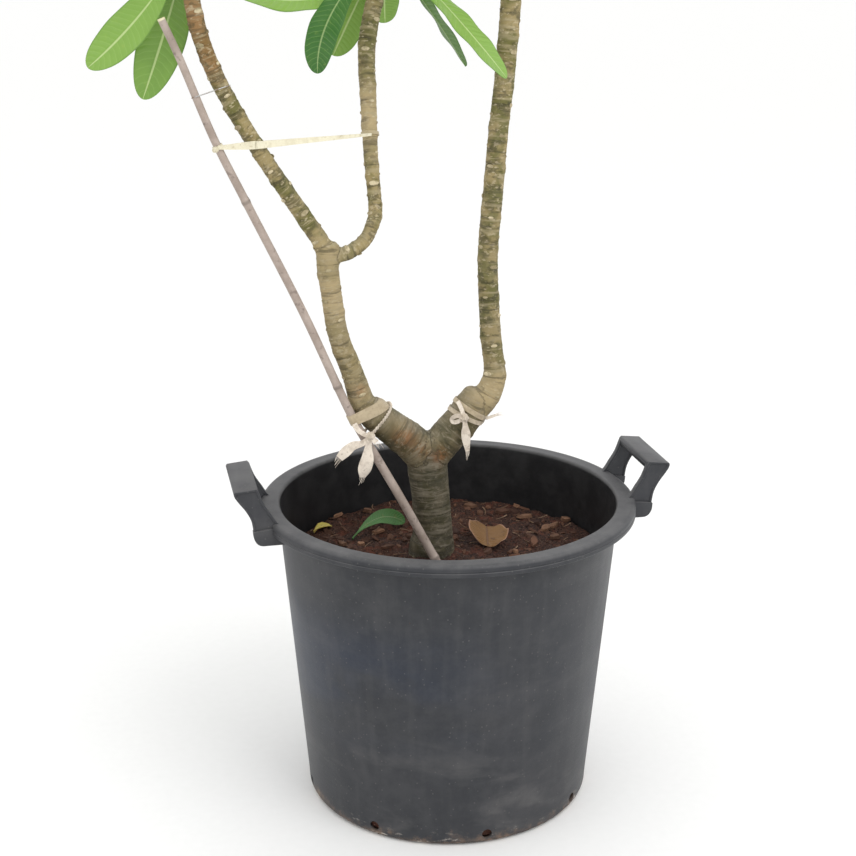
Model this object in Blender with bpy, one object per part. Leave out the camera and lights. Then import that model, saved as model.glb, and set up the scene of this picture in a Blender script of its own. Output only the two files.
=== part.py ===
"""Frangipani tree in a black nursery pot with two grab handles.

Units are metres, +Z is up. The origin is the centre of the pot's underside,
and the two handles of the pot lie on the X axis.
"""

import math

import bmesh
import bpy
from mathutils import Matrix, Vector
from mathutils.bvhtree import BVHTree

# Pot
POT_HEIGHT = 0.374
BASE_RADIUS = 0.174
BODY_TOP_RADIUS = 0.2045
RIM_RADIUS = 0.225
WALL = 0.003
FLOOR = 0.004
BASE_CORNER = 0.010
RIM_SKIRT = 0.0135
RIM_PLATE = 0.0055
POT_SIDES = 60
DRAIN_HOLES = 8
DRAIN_RADIUS = 0.006
DRAIN_HEIGHT = 0.014
DRAIN_TURN = math.radians(3)

# Handles of the pot
HANDLE_LENGTH = 0.107
HANDLE_LEG = 0.008

# Soil
SOIL_LEVEL = 0.300
SOIL_RELIEF = 0.0022
SOIL_SIDES = 48
SEAT = 0.0003
LITTER_LIFT = 0.0005

# Woody stems
BARK_PITCH = 0.0125
BARK_SIDES = 10
TRUNK_SIDES = 14
BARK_RELIEF = 0.0009
STUMP_FOOT = 0.190

# Leaves
LEAF_LENGTH = 0.188
LEAF_WIDTH = 0.048
LEAF_THICKNESS = 0.0009
RIB_DEPTH = 0.0016
LEAF_FOLD = 0.16
LEAF_STATIONS = (0.0, 0.12, 0.28, 0.46, 0.66, 0.82, 0.94, 1.0)
LEAF_BROADEST = 0.66
STALK_END = 0.15
STALK_SHARE = 0.085
BLUNT_SHARE = 0.24
GOLDEN_ANGLE = math.radians(137.5)

# Leaf rosettes: the oldest leaf is the lowest, the youngest the steepest
YOUNG_RISE = 76
OLD_DROOP = 34
YOUNG_DROOP = 12
YOUNG_LENGTH = 0.60
YOUNG_WIDTH = 0.76
SHORT_RISE = 66
SHORT_DROOP = 14
SHORT_LENGTH = 0.9
ROSETTE_LOW = 0.42
ROSETTE_SPAN = 0.50

# Cane
CANE_SIDES = 10
CANE_FOOT = 0.215


def clear_scene():
    """Remove every object of the open file."""
    for item in list(bpy.data.objects):
        bpy.data.objects.remove(item, do_unlink=True)


def make_material(name, colour, roughness, metallic=0.0):
    """A plain Principled material."""
    material = bpy.data.materials.new(name)
    material.use_nodes = True
    shader = material.node_tree.nodes["Principled BSDF"]
    shader.inputs["Base Color"].default_value = (*colour, 1.0)
    shader.inputs["Roughness"].default_value = roughness
    shader.inputs["Metallic"].default_value = metallic
    material.diffuse_color = (*colour, 1.0)
    return material


def new_object(name, bm, material=None, sharp=40):
    """Turn a bmesh into an object with outward faces."""
    bmesh.ops.recalc_face_normals(bm, faces=bm.faces)
    mesh = bpy.data.meshes.new(name)
    bm.to_mesh(mesh)
    bm.free()
    mesh.shade_smooth()
    mesh.set_sharp_from_angle(angle=math.radians(sharp))
    if material:
        mesh.materials.append(material)
    item = bpy.data.objects.new(name, mesh)
    bpy.context.scene.collection.objects.link(item)
    return item


def combine(item, tools, operation):
    """Join or cut an object with all the tools, apply it and drop the tools."""
    group = bpy.data.collections.new(item.name + "_tools")
    bpy.context.scene.collection.children.link(group)
    for tool in tools:
        group.objects.link(tool)
    modifier = item.modifiers.new("combine", "BOOLEAN")
    modifier.operand_type = "COLLECTION"
    modifier.collection = group
    modifier.operation = operation
    modifier.solver = "EXACT"
    graph = bpy.context.evaluated_depsgraph_get()
    mesh = bpy.data.meshes.new_from_object(item.evaluated_get(graph))
    item.modifiers.clear()
    item.data = mesh
    for tool in tools:
        bpy.data.objects.remove(tool, do_unlink=True)
    bpy.data.collections.remove(group)
    mesh.name = item.name
    return item


def skin_rings(rings, closed=False):
    """Closed body over a list of rings with equally many points."""
    bm = bmesh.new()
    loops = [[bm.verts.new(point) for point in ring] for ring in rings]
    pairs = list(zip(loops, loops[1:]))
    if closed:
        pairs.append((loops[-1], loops[0]))
    for low, high in pairs:
        count = len(low)
        for index in range(count):
            after = (index + 1) % count
            bm.faces.new((low[index], low[after], high[after], high[index]))
    if not closed:
        bm.faces.new(list(reversed(loops[0])))
        bm.faces.new(loops[-1])
    return bm


def turned(profile, sides):
    """Body turned round Z from an open profile that starts and ends on the axis."""
    bm = bmesh.new()
    turns = [2 * math.pi * step / sides for step in range(sides)]
    inner = profile[1:-1]
    loops = [
        [bm.verts.new((radius * math.cos(turn), radius * math.sin(turn), z)) for turn in turns]
        for radius, z in inner
    ]
    for low, high in zip(loops, loops[1:]):
        for index in range(sides):
            after = (index + 1) % sides
            bm.faces.new((low[index], low[after], high[after], high[index]))
    bm.faces.new(list(reversed(loops[0])))
    bm.faces.new(loops[-1])
    return bm


def spline(rows, spacing):
    """Even steps along a smooth curve through rows of x, y, z and radius."""
    points = [Vector(row) for row in rows]
    ends = [2 * points[0] - points[1], *points, 2 * points[-1] - points[-2]]
    fine = []
    for before, start, end, after in zip(ends, ends[1:], ends[2:], ends[3:]):
        for step in range(12):
            t = step / 12
            first = 0.5 * ((2 * start) + (end - before) * t)
            second = 0.5 * (2 * before - 5 * start + 4 * end - after) * t * t
            third = 0.5 * (3 * start - before - 3 * end + after) * t * t * t
            fine.append(first + second + third)
    fine.append(points[-1])
    lengths = [0.0]
    for start, end in zip(fine, fine[1:]):
        lengths.append(lengths[-1] + (end.xyz - start.xyz).length)
    count = max(2, round(lengths[-1] / spacing))
    result = []
    place = 0
    for step in range(count + 1):
        target = lengths[-1] * step / count
        while place < len(fine) - 2 and lengths[place + 1] < target:
            place += 1
        share = (target - lengths[place]) / (lengths[place + 1] - lengths[place])
        result.append(fine[place].lerp(fine[place + 1], min(1.0, share)))
    return result


def section_frames(centres):
    """Tangent and two side directions at each centre, without twist."""
    frames = []
    side = None
    for index, centre in enumerate(centres):
        before = centres[max(0, index - 1)]
        after = centres[min(len(centres) - 1, index + 1)]
        tangent = (after - before).normalized()
        if side is None:
            side = Vector((1, 0, 0)) if abs(tangent.x) < 0.8 else Vector((0, 1, 0))
        side = (side - tangent * side.dot(tangent)).normalized()
        frames.append((tangent, side, tangent.cross(side)))
    return frames


def stem(rows, sides, spacing=BARK_PITCH, relief=BARK_RELIEF, round_end=True, phase=0.0):
    """Tapered limb with low knobs in a spiral, like old leaf scars."""
    path = spline(rows, spacing)
    centres = [point.xyz for point in path]
    frames = section_frames(centres)
    rings = []
    last = len(path) - 1
    for index, (point, (tangent, side, up)) in enumerate(zip(path, frames)):
        ring = []
        scar = phase + index * GOLDEN_ANGLE
        for step in range(sides):
            angle = 2 * math.pi * step / sides
            knob = max(0.0, math.cos(angle - scar)) ** 3
            level = 0.0 if index in (0, last) else relief
            radius = point.w + level * (1.6 * knob - 0.4)
            ring.append(point.xyz + radius * (math.cos(angle) * side + math.sin(angle) * up))
        rings.append(ring)
    if round_end:
        tangent = frames[-1][0]
        centre = centres[-1]
        for share, rise in ((0.86, 0.30), (0.52, 0.55)):
            ring = [centre + (p - centre) * share + tangent * path[-1].w * rise for p in rings[-1]]
            rings.append(ring)
    return skin_rings(rings)


def strap_ring(circles, normal, width, thickness, steps=20):
    """Flat band pulled tight round one or two circles in the plane of the normal."""
    normal = normal.normalized()
    side = normal.cross(Vector((0, 1, 0))).normalized()
    up = normal.cross(side)
    rings = []
    for step in range(steps):
        angle = 2 * math.pi * step / steps
        out = math.cos(angle) * side + math.sin(angle) * up
        centre, radius = max(circles, key=lambda row: row[0].dot(out) + row[1])
        inner = centre + out * radius
        outer = inner + out * thickness
        half = normal * width / 2
        rings.append([inner - half, outer - half, outer + half, inner + half])
    return skin_rings(rings, closed=True)


def ribbon(rows, face):
    """Flat tail along rows of point, width and thickness."""
    points = [Vector(row[0]) for row in rows]
    rings = []
    for index, (point, width, thickness) in enumerate(rows):
        before = points[max(0, index - 1)]
        after = points[min(len(points) - 1, index + 1)]
        tangent = (after - before).normalized()
        side = tangent.cross(Vector(face)).normalized()
        out = side.cross(tangent)
        centre = Vector(point)
        a = side * width / 2
        b = out * thickness / 2
        rings.append([centre - a - b, centre + a - b, centre + a + b, centre - a + b])
    return skin_rings(rings)


def lump(centre, radii, detail=2):
    """Rounded knot."""
    bm = bmesh.new()
    bmesh.ops.create_icosphere(bm, subdivisions=detail, radius=1.0)
    for vert in bm.verts:
        vert.co = Vector(centre) + Vector([a * b for a, b in zip(vert.co, radii)])
    return bm


def half_width(t):
    """Share of the full half width: a stalk, a slow swell and a rounded end."""
    if t < STALK_END:
        return STALK_SHARE
    if t < LEAF_BROADEST:
        return math.sin(math.pi / 2 * t / LEAF_BROADEST) ** 1.5
    beyond = (t - LEAF_BROADEST) / (1 - LEAF_BROADEST)
    return max(BLUNT_SHARE, math.sqrt(1 - beyond ** 2))


def leaf(start, middle, end, width, face, fold=LEAF_FOLD):
    """Closed blade on a curve through three points, with its rib underneath."""
    start = Vector(start)
    end = Vector(end)
    bend = 2 * Vector(middle) - (start + end) / 2
    rings = []
    for t in LEAF_STATIONS:
        centre = (1 - t) ** 2 * start + 2 * t * (1 - t) * bend + t * t * end
        tangent = ((1 - t) * (bend - start) + t * (end - bend)).normalized()
        side = tangent.cross(Vector(face)).normalized()
        out = side.cross(tangent)
        petiole = t < STALK_END
        half = width / 2 * half_width(t)
        rise = half * fold
        skin = LEAF_THICKNESS * (2.0 if petiole else 1.0)
        rib = RIB_DEPTH * (1.0 - 0.8 * t) * (1.3 if petiole else 1.0)
        rings.append([
            centre - side * half + out * rise,
            centre,
            centre + side * half + out * rise,
            centre + side * half + out * (rise - skin),
            centre - out * (skin + rib),
            centre - side * half + out * (rise - skin),
        ])
    return skin_blade(rings)


def skin_blade(rings):
    """Closed blade, with the same split of its faces on both sides."""
    bm = bmesh.new()
    loops = [[bm.verts.new(point) for point in ring] for ring in rings]
    for low, high in zip(loops, loops[1:]):
        for index in range(6):
            after = (index + 1) % 6
            if index % 3 == 0:
                bm.faces.new((low[index], low[after], high[index]))
                bm.faces.new((low[after], high[after], high[index]))
            else:
                bm.faces.new((low[index], low[after], high[after]))
                bm.faces.new((low[index], high[after], high[index]))
    bm.faces.new(list(reversed(loops[0])))
    bm.faces.new(loops[-1])
    return bm


def build_pot(material):
    """Pot body with its rolled rim, the two handles and the drain holes."""
    inner = BODY_TOP_RADIUS - WALL
    top = POT_HEIGHT
    corner = []
    for step in range(4):
        turn = math.radians(-90 + 84 * step / 3)
        centre = BASE_RADIUS - BASE_CORNER
        radius = centre + BASE_CORNER * math.cos(turn)
        corner.append((radius, BASE_CORNER * (1 + math.sin(turn))))
    profile = [
        (0, 0),
        *corner,
        (BODY_TOP_RADIUS, top - RIM_PLATE),
        (RIM_RADIUS - 0.0045, top - RIM_PLATE),
        (RIM_RADIUS - 0.0028, top - RIM_PLATE - 0.002),
        (RIM_RADIUS - 0.0026, top - RIM_SKIRT + 0.001),
        (RIM_RADIUS - 0.0010, top - RIM_SKIRT),
        (RIM_RADIUS, top - RIM_SKIRT + 0.0015),
        (RIM_RADIUS, top - 0.0045),
        (RIM_RADIUS - 0.0018, top - 0.0014),
        (RIM_RADIUS - 0.0055, top),
        (inner + 0.0045, top),
        (inner + 0.0012, top - 0.0013),
        (inner, top - 0.0045),
        (BASE_RADIUS - WALL, BASE_CORNER),
        (BASE_RADIUS - WALL - 0.006, FLOOR),
        (0, FLOOR),
    ]
    pot = new_object("pot", turned(profile, POT_SIDES), material)
    parts = []
    for direction in (1, -1):
        parts.extend(handle_parts(direction))
    combine(pot, parts, "UNION")
    combine(pot, drain_cutters(), "DIFFERENCE")
    pot.data.shade_smooth()
    pot.data.set_sharp_from_angle(angle=math.radians(35))
    return pot


def handle_parts(direction):
    """Two waisted legs and the grip bar of one handle."""
    leg_outline = [
        (0.2590, 0.4150), (0.2605, 0.4110), (0.2560, 0.4030), (0.2480, 0.3920),
        (0.2420, 0.3800), (0.2395, 0.3660), (0.2385, 0.3575), (0.2350, 0.3515),
        (0.2290, 0.3490), (0.1968, 0.3490), (0.1968, 0.3640), (0.2060, 0.3705),
        (0.2130, 0.3765), (0.2190, 0.3860), (0.2270, 0.3990), (0.2330, 0.4150),
        (0.2350, 0.4175),
    ]
    bar_outline = [
        (0.2350, 0.4175), (0.2590, 0.4150), (0.2605, 0.4110), (0.2580, 0.4055),
        (0.2540, 0.4030), (0.2370, 0.4045), (0.2330, 0.4080), (0.2326, 0.4150),
    ]
    reach = HANDLE_LENGTH / 2
    spans = [
        (leg_outline, reach - HANDLE_LEG, reach),
        (leg_outline, -reach, HANDLE_LEG - reach),
        (bar_outline, HANDLE_LEG / 2 - reach, reach - HANDLE_LEG / 2),
    ]
    parts = []
    for index, (outline, near, far) in enumerate(spans):
        rings = [[(direction * x, y, z) for x, z in outline] for y in (near, far)]
        parts.append(new_object(f"handle_part_{direction}_{index}", skin_rings(rings)))
    return parts


def drain_cutters():
    """Short rods that cut the drain holes through the foot of the wall."""
    rods = []
    for index in range(DRAIN_HOLES):
        turn = DRAIN_TURN + 2 * math.pi * index / DRAIN_HOLES
        bm = bmesh.new()
        place = Matrix.Rotation(turn, 4, "Z") @ Matrix.Translation((BASE_RADIUS, 0, DRAIN_HEIGHT))
        bmesh.ops.create_cone(
            bm, cap_ends=True, segments=10, radius1=DRAIN_RADIUS, radius2=DRAIN_RADIUS,
            depth=0.016, matrix=place @ Matrix.Rotation(math.pi / 2, 4, "Y"),
        )
        rods.append(new_object(f"drain_{index}", bm))
    return rods


def soil_height(x, y):
    """Low mounds of the soil's surface, with a slight hump round the trunk."""
    waves = (
        (61, 23, 0.4), (-37, 71, 1.9), (113, -52, 3.1), (29, -127, 0.8), (149, 97, 2.2),
    )
    relief = sum(math.sin(a * x + b * y + c) for a, b, c in waves) / len(waves)
    hump = 0.003 * math.exp(-((x + 0.018) ** 2 + y ** 2) / 0.0040)
    return SOIL_LEVEL + 2.0 * SOIL_RELIEF * relief + hump


def pot_inside_radius(z):
    """Radius of the pot's inner wall at a height."""
    low = BASE_CORNER
    high = POT_HEIGHT - 0.0045
    share = (z - low) / (high - low)
    return (BASE_RADIUS - WALL) * (1 - share) + (BODY_TOP_RADIUS - WALL) * share


def build_soil(material, trunk_rows, cane_rows):
    """Soil that fills the pot, with plain holes for the trunk and the cane."""
    bm = bmesh.new()
    turns = [2 * math.pi * step / SOIL_SIDES for step in range(SOIL_SIDES)]
    facet = math.cos(math.pi / POT_SIDES)
    gap = 2 * SEAT
    bottom = FLOOR + SEAT
    profile = [
        (BASE_RADIUS - WALL - 0.006 - gap, bottom),
        (pot_inside_radius(BASE_CORNER + 0.001) * facet - gap, BASE_CORNER + 0.001),
        (pot_inside_radius(SOIL_LEVEL - 0.004) * facet - gap, None),
    ]
    loops = []
    for radius, z in profile:
        loop = []
        for turn in turns:
            x = radius * math.cos(turn)
            y = radius * math.sin(turn)
            loop.append(bm.verts.new((x, y, soil_height(x, y) - 0.004 if z is None else z)))
        loops.append(loop)
    rim = profile[-1][0]
    for share in (0.985, 0.90, 0.78, 0.65, 0.52, 0.40, 0.28, 0.17, 0.08):
        loop = []
        for turn in turns:
            x = rim * share * math.cos(turn)
            y = rim * share * math.sin(turn)
            loop.append(bm.verts.new((x, y, soil_height(x, y))))
        loops.append(loop)
    for low, high in zip(loops, loops[1:]):
        for index in range(SOIL_SIDES):
            after = (index + 1) % SOIL_SIDES
            bm.faces.new((low[index], low[after], high[after], high[index]))
    bm.faces.new(list(reversed(loops[0])))
    middle = bm.verts.new((0, 0, soil_height(0, 0)))
    for index in range(SOIL_SIDES):
        bm.faces.new((loops[-1][index], loops[-1][(index + 1) % SOIL_SIDES], middle))
    soil = new_object("soil", bm, material)
    trunk_hole = [(x, y, z, r + 0.0006) for x, y, z, r in trunk_rows]
    trunk_hole[0] = (*trunk_hole[0][:2], trunk_hole[0][2] - 0.0006, trunk_hole[0][3])
    cane_hole = [(x, y, z, r + 0.0006) for x, y, z, r in cane_rows]
    cane_hole[0] = (*cane_hole[0][:2], cane_hole[0][2] - 0.0006, cane_hole[0][3])
    cutters = []
    for index, (rows, sides) in enumerate(((trunk_hole, TRUNK_SIDES), (cane_hole, CANE_SIDES))):
        rings = []
        centres = [Vector(row[:3]) for row in rows]
        for (tangent, side, up), row in zip(section_frames(centres), rows):
            centre = Vector(row[:3])
            rings.append([
                centre + row[3] * (math.cos(a) * side + math.sin(a) * up)
                for a in (2 * math.pi * step / sides for step in range(sides))
            ])
        cutters.append(new_object(f"soil_hole_{index}", skin_rings(rings)))
    return combine(soil, cutters, "DIFFERENCE")


def straight_body(name, rows, sides):
    """Plain tapered body with the same sections as the hole it stands in."""
    rings = []
    centres = [Vector(row[:3]) for row in rows]
    for (tangent, side, up), row in zip(section_frames(centres), rows):
        rings.append([
            Vector(row[:3]) + row[3] * (math.cos(a) * side + math.sin(a) * up)
            for a in (2 * math.pi * step / sides for step in range(sides))
        ])
    return new_object(name, skin_rings(rings))


# Foot of the trunk, in its hole in the soil: x, y, z and radius
TRUNK_FOOT = [
    (-0.020, 0.004, STUMP_FOOT, 0.0180),
    (-0.020, 0.004, 0.245, 0.0250),
    (-0.019, 0.004, 0.285, 0.0292),
    (-0.019, 0.004, 0.316, 0.0268),
]

# Woody limbs above the soil: x, y, z and radius
TRUNK = [
    (-0.019, 0.004, 0.300, 0.0285), (-0.018, 0.004, 0.318, 0.0255), (-0.018, 0.004, 0.340, 0.0233),
    (-0.021, 0.005, 0.381, 0.0231), (-0.024, 0.005, 0.410, 0.0240), (-0.025, 0.005, 0.432, 0.0240),
]
LEFT_LIMB = [
    (-0.024, 0.004, 0.420, 0.0225), (-0.045, 0.005, 0.444, 0.0222), (-0.066, 0.006, 0.461, 0.0206),
    (-0.086, 0.006, 0.478, 0.0192), (-0.095, 0.006, 0.486, 0.0175),
]
LEFT_BRANCH = [
    (-0.080, 0.006, 0.470, 0.0130), (-0.100, 0.007, 0.493, 0.0145), (-0.114, 0.004, 0.534, 0.0128),
    (-0.130, 0.001, 0.580, 0.0120), (-0.137, -0.002, 0.626, 0.0120),
    (-0.141, -0.003, 0.660, 0.0125), (-0.141, -0.003, 0.682, 0.0128),
]
LEFT_SPRAY_STEM = [
    (-0.140, -0.003, 0.672, 0.0100), (-0.150, -0.003, 0.692, 0.0100),
    (-0.176, -0.004, 0.732, 0.0094), (-0.213, -0.004, 0.790, 0.0090),
    (-0.248, -0.003, 0.852, 0.0090), (-0.266, -0.003, 0.893, 0.0091),
    (-0.277, -0.003, 0.932, 0.0091), (-0.283, -0.002, 0.975, 0.0090),
]
MIDDLE_SPRAY_STEM = [
    (-0.141, -0.003, 0.670, 0.0080), (-0.130, -0.003, 0.672, 0.0084),
    (-0.113, -0.001, 0.677, 0.0080), (-0.098, 0.005, 0.686, 0.0079),
    (-0.088, 0.011, 0.700, 0.0079), (-0.082, 0.018, 0.717, 0.0080),
    (-0.082, 0.026, 0.740, 0.0080), (-0.083, 0.039, 0.781, 0.0085),
    (-0.082, 0.056, 0.836, 0.0094), (-0.081, 0.070, 0.892, 0.0100),
    (-0.073, 0.078, 0.933, 0.0101), (-0.063, 0.083, 0.972, 0.0098),
]
RIGHT_LIMB = [
    (-0.025, 0.004, 0.420, 0.0215), (0.001, 0.004, 0.449, 0.0215), (0.018, 0.004, 0.467, 0.0212),
    (0.028, 0.004, 0.483, 0.0205), (0.034, 0.004, 0.495, 0.0170),
]
RIGHT_BRANCH = [
    (0.030, 0.004, 0.472, 0.0145), (0.047, 0.004, 0.494, 0.0160), (0.056, 0.004, 0.514, 0.0142),
    (0.057, 0.006, 0.532, 0.0128), (0.053, 0.009, 0.569, 0.0124), (0.050, 0.014, 0.638, 0.0120),
    (0.051, 0.016, 0.682, 0.0119), (0.055, 0.017, 0.726, 0.0119), (0.062, 0.019, 0.808, 0.0115),
    (0.069, 0.022, 0.865, 0.0116), (0.074, 0.025, 0.921, 0.0117), (0.076, 0.027, 0.948, 0.0117),
    (0.081, 0.030, 1.033, 0.0110), (0.086, 0.033, 1.112, 0.0104),
]


def build_trunk(material):
    """Trunk, limbs and branches, grown as one piece."""
    trunk = new_object("trunk", stem(TRUNK, TRUNK_SIDES), material)
    limbs = [
        (LEFT_LIMB, 12, True, 0.5), (LEFT_BRANCH, BARK_SIDES, True, 1.1),
        (LEFT_SPRAY_STEM, BARK_SIDES, False, 1.9), (MIDDLE_SPRAY_STEM, BARK_SIDES, False, 2.3),
        (RIGHT_LIMB, 12, True, 2.9), (RIGHT_BRANCH, BARK_SIDES, False, 3.4),
    ]
    parts = [straight_body("trunk_foot", TRUNK_FOOT, TRUNK_SIDES)]
    for index, (rows, sides, rounded, phase) in enumerate(limbs):
        bm = stem(rows, sides, round_end=rounded, phase=phase)
        parts.append(new_object(f"limb_{index}", bm))
    combine(trunk, parts, "UNION")
    return trunk


def tip_rows(stem_rows, top, radius):
    """Green growing tip, seated on the cut end of its woody stem."""
    path = spline(stem_rows, BARK_PITCH)
    end = path[-1].xyz
    direction = (end - path[-2].xyz).normalized()
    start = end + direction * 2 * SEAT
    collar = start + direction * 0.014
    middle = collar.lerp(Vector(top), 0.5)
    return [
        (*start, stem_rows[-1][3] * 0.97),
        (*collar, radius),
        (*middle, radius),
        (*top, radius * 0.75),
    ]


def rosette_leaves(rows, count, turn, keep_short, keep_out, lowest):
    """Leaves in a spiral round a growing tip, the young ones steep and short."""
    start = Vector(rows[0][:3])
    top = Vector(rows[-1][:3])
    leaves = []
    for index in range(count):
        share = index / (count - 1)
        azimuth = turn + index * GOLDEN_ANGLE
        for centre, spread in keep_out:
            offset = (azimuth - centre + math.pi) % (2 * math.pi) - math.pi
            if abs(offset) < spread:
                azimuth = centre + math.copysign(spread, offset)
        rise = math.radians(lowest + (YOUNG_RISE - lowest) * share)
        droop = math.radians(OLD_DROOP + (YOUNG_DROOP - OLD_DROOP) * share)
        length = LEAF_LENGTH * (1.0 - (1.0 - YOUNG_LENGTH) * share ** 1.5)
        for centre, spread in keep_short:
            offset = (azimuth - centre + math.pi) % (2 * math.pi) - math.pi
            if abs(offset) < spread:
                rise = max(rise, math.radians(SHORT_RISE))
                droop = math.radians(SHORT_DROOP)
                length *= SHORT_LENGTH
        flat = Vector((math.cos(azimuth), math.sin(azimuth), 0))
        foot = start.lerp(top, ROSETTE_LOW + ROSETTE_SPAN * share)
        first = flat * math.cos(rise) + Vector((0, 0, math.sin(rise)))
        later = flat * math.cos(rise - droop) + Vector((0, 0, math.sin(rise - droop)))
        middle = foot + first * length * 0.5
        end = middle + later * length * 0.5
        face = Vector((0, 0, 1)) - flat * math.sin(rise) * 0.8
        width = LEAF_WIDTH * (1.0 - (1.0 - YOUNG_WIDTH) * share)
        leaves.append((foot, middle, end, width, face))
    return leaves


def build_rosette(name, material, rows, leaves):
    """One leafy tip: the green stem with all its leaves fused to it."""
    tip = new_object(name, stem(rows, 9, spacing=0.012, relief=0.0), material)
    parts = []
    for index, row in enumerate(leaves):
        parts.append(new_object(f"{name}_blade_{index}", leaf(*row)))
    return combine(tip, parts, "UNION")


# Leaves that hang into view: foot, middle and tip of the rib, width and upper face
TOWARDS_FRONT = (0.10, -0.92, 0.38)
LEFT_HANGING = [
    ((-0.284, 0.000, 1.004), (-0.334, 0.000, 0.938), (-0.392, -0.008, 0.884), 0.041, TOWARDS_FRONT),
    ((-0.283, 0.003, 1.006), (-0.302, 0.021, 0.939), (-0.336, 0.018, 0.848), 0.050, TOWARDS_FRONT),
]
MIDDLE_HANGING = [
    ((-0.058, 0.084, 0.998), (-0.146, 0.052, 0.950), (-0.253, 0.030, 0.972), 0.042,
     (0.05, -0.55, 0.80)),
    ((-0.058, 0.083, 1.000), (-0.125, 0.030, 0.938), (-0.145, 0.018, 0.872), 0.036,
     (-0.35, -0.85, 0.30)),
    ((-0.057, 0.086, 1.004), (-0.086, 0.112, 0.940), (-0.112, 0.122, 0.884), 0.042,
     (0.25, -0.85, 0.40)),
    ((-0.055, 0.088, 1.000), (-0.049, 0.130, 0.956), (-0.045, 0.148, 0.919), 0.037,
     (0.10, -0.90, 0.30)),
    ((-0.055, 0.082, 1.002), (-0.015, 0.028, 0.938), (0.021, 0.010, 0.878), 0.038,
     (0.86, 0.10, 0.45)),
    ((-0.054, 0.081, 1.006), (0.005, 0.006, 0.935), (0.059, -0.024, 0.867), 0.036,
     (0.35, -0.55, 0.75)),
]


def build_leaves(material):
    """The three leafy tips."""
    left = tip_rows(LEFT_SPRAY_STEM, (-0.285, 0.000, 1.040), 0.0088)
    middle = tip_rows(MIDDLE_SPRAY_STEM, (-0.050, 0.089, 1.042), 0.0095)
    right = tip_rows(RIGHT_BRANCH, (0.088, 0.034, 1.180), 0.0098)
    towards_middle = math.radians(20)
    towards_left = math.radians(200)
    towards_right = math.radians(-22)
    back_to_middle = math.radians(158)
    rule = rosette_leaves(
        left, 13, 0.3, [(towards_middle, 0.55)], [], 24,
    )
    build_rosette("leaves_left", material, left, LEFT_HANGING + rule)
    rule = rosette_leaves(
        middle, 11, 1.4, [(towards_left, 0.5)], [(towards_right, 0.75)], 26,
    )
    build_rosette("leaves_middle", material, middle, MIDDLE_HANGING + rule)
    rule = rosette_leaves(
        right, 15, 2.2, [(back_to_middle, 0.8)], [], 4,
    )
    build_rosette("leaves_right", material, right, rule)


# Bamboo cane: x, y, z and radius
CANE = [
    (-0.0250, -0.0330, 0.311, 0.0052), (-0.0625, -0.0240, 0.3835, 0.0052),
    (-0.0910, -0.0140, 0.436, 0.0052), (-0.1195, -0.0050, 0.4895, 0.0050),
    (-0.1710, -0.0090, 0.610, 0.0048), (-0.2310, -0.0140, 0.737, 0.0046),
    (-0.2640, -0.0160, 0.808, 0.0044), (-0.2950, -0.0160, 0.889, 0.0042),
    (-0.3140, -0.0160, 0.934, 0.0041),
]


def cane_foot_rows():
    """Straight foot of the cane, pushed into the soil along its own line."""
    low = Vector(CANE[0][:3])
    direction = (low - Vector(CANE[1][:3])).normalized()
    radius = CANE[0][3]
    foot = low + direction * ((low.z - CANE_FOOT) / -direction.z)
    above = low - direction * 0.006
    return [(*foot, radius * 0.9), (*above, radius)]


def build_cane(material):
    """Slim tapered cane, its foot in the soil."""
    rows = [cane_foot_rows()[0], *CANE]
    return new_object("cane", stem(rows, CANE_SIDES, 0.028, 0.0, round_end=False), material)


def joined(name, bodies, material):
    """One object from bodies that overlap each other."""
    first = new_object(name, bodies[0], material)
    rest = [new_object(f"{name}_{index}", bm) for index, bm in enumerate(bodies[1:])]
    return combine(first, rest, "UNION")


def build_tie_left(material):
    """Strip round the end of the left limb and the cane, with a knot and tails."""
    limb = Vector((-0.0790, 0.0060, 0.4720))
    limb_end = Vector((-0.0930, 0.0060, 0.4883))
    branch_foot = Vector((-0.0975, 0.0060, 0.4864))
    cane_low = Vector((-0.0984, -0.0117, 0.4503))
    cane_high = Vector((-0.1144, -0.0066, 0.4799))
    knot = Vector((-0.0980, -0.0222, 0.4620))
    cloth = 0.0012
    bodies = [
        lump(knot, (0.0055, 0.0050, 0.0055)),
        strap_ring(
            [(limb, 0.0218), (cane_low, 0.0069), (knot, 0.0025)],
            Vector((-0.745, 0, 0.667)), 0.004, cloth, 26,
        ),
        strap_ring(
            [(limb_end, 0.0208), (branch_foot, 0.0196), (cane_high, 0.0071)],
            Vector((-0.38, 0, 0.925)), 0.012, 0.0014, 26,
        ),
        ribbon([
            ((-0.1150, -0.0145, 0.4760), 0.006, cloth), ((-0.1110, -0.0200, 0.4690), 0.006, cloth),
            ((-0.1000, -0.0235, 0.4625), 0.005, cloth),
        ], (0.1, -1, 0.2)),
        ribbon([
            ((-0.0990, -0.0240, 0.4610), 0.005, cloth), ((-0.1080, -0.0245, 0.4550), 0.007, cloth),
            ((-0.1190, -0.0260, 0.4530), 0.010, cloth), ((-0.1280, -0.0260, 0.4460), 0.012, cloth),
            ((-0.1350, -0.0250, 0.4390), 0.009, cloth),
        ], (0.1, -1, 0.4)),
        ribbon([
            ((-0.0985, -0.0240, 0.4600), 0.006, cloth), ((-0.1010, -0.0255, 0.4500), 0.009, cloth),
            ((-0.1030, -0.0290, 0.4360), 0.015, cloth), ((-0.1070, -0.0300, 0.4240), 0.015, cloth),
            ((-0.1090, -0.0290, 0.4150), 0.007, cloth),
        ], (0.1, -1, 0.2)),
        ribbon([
            ((-0.0970, -0.0240, 0.4625), 0.005, cloth), ((-0.0915, -0.0260, 0.4555), 0.007, cloth),
        ], (0.1, -1, 0.3)),
    ]
    return joined("tie_left", bodies, material)


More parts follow.
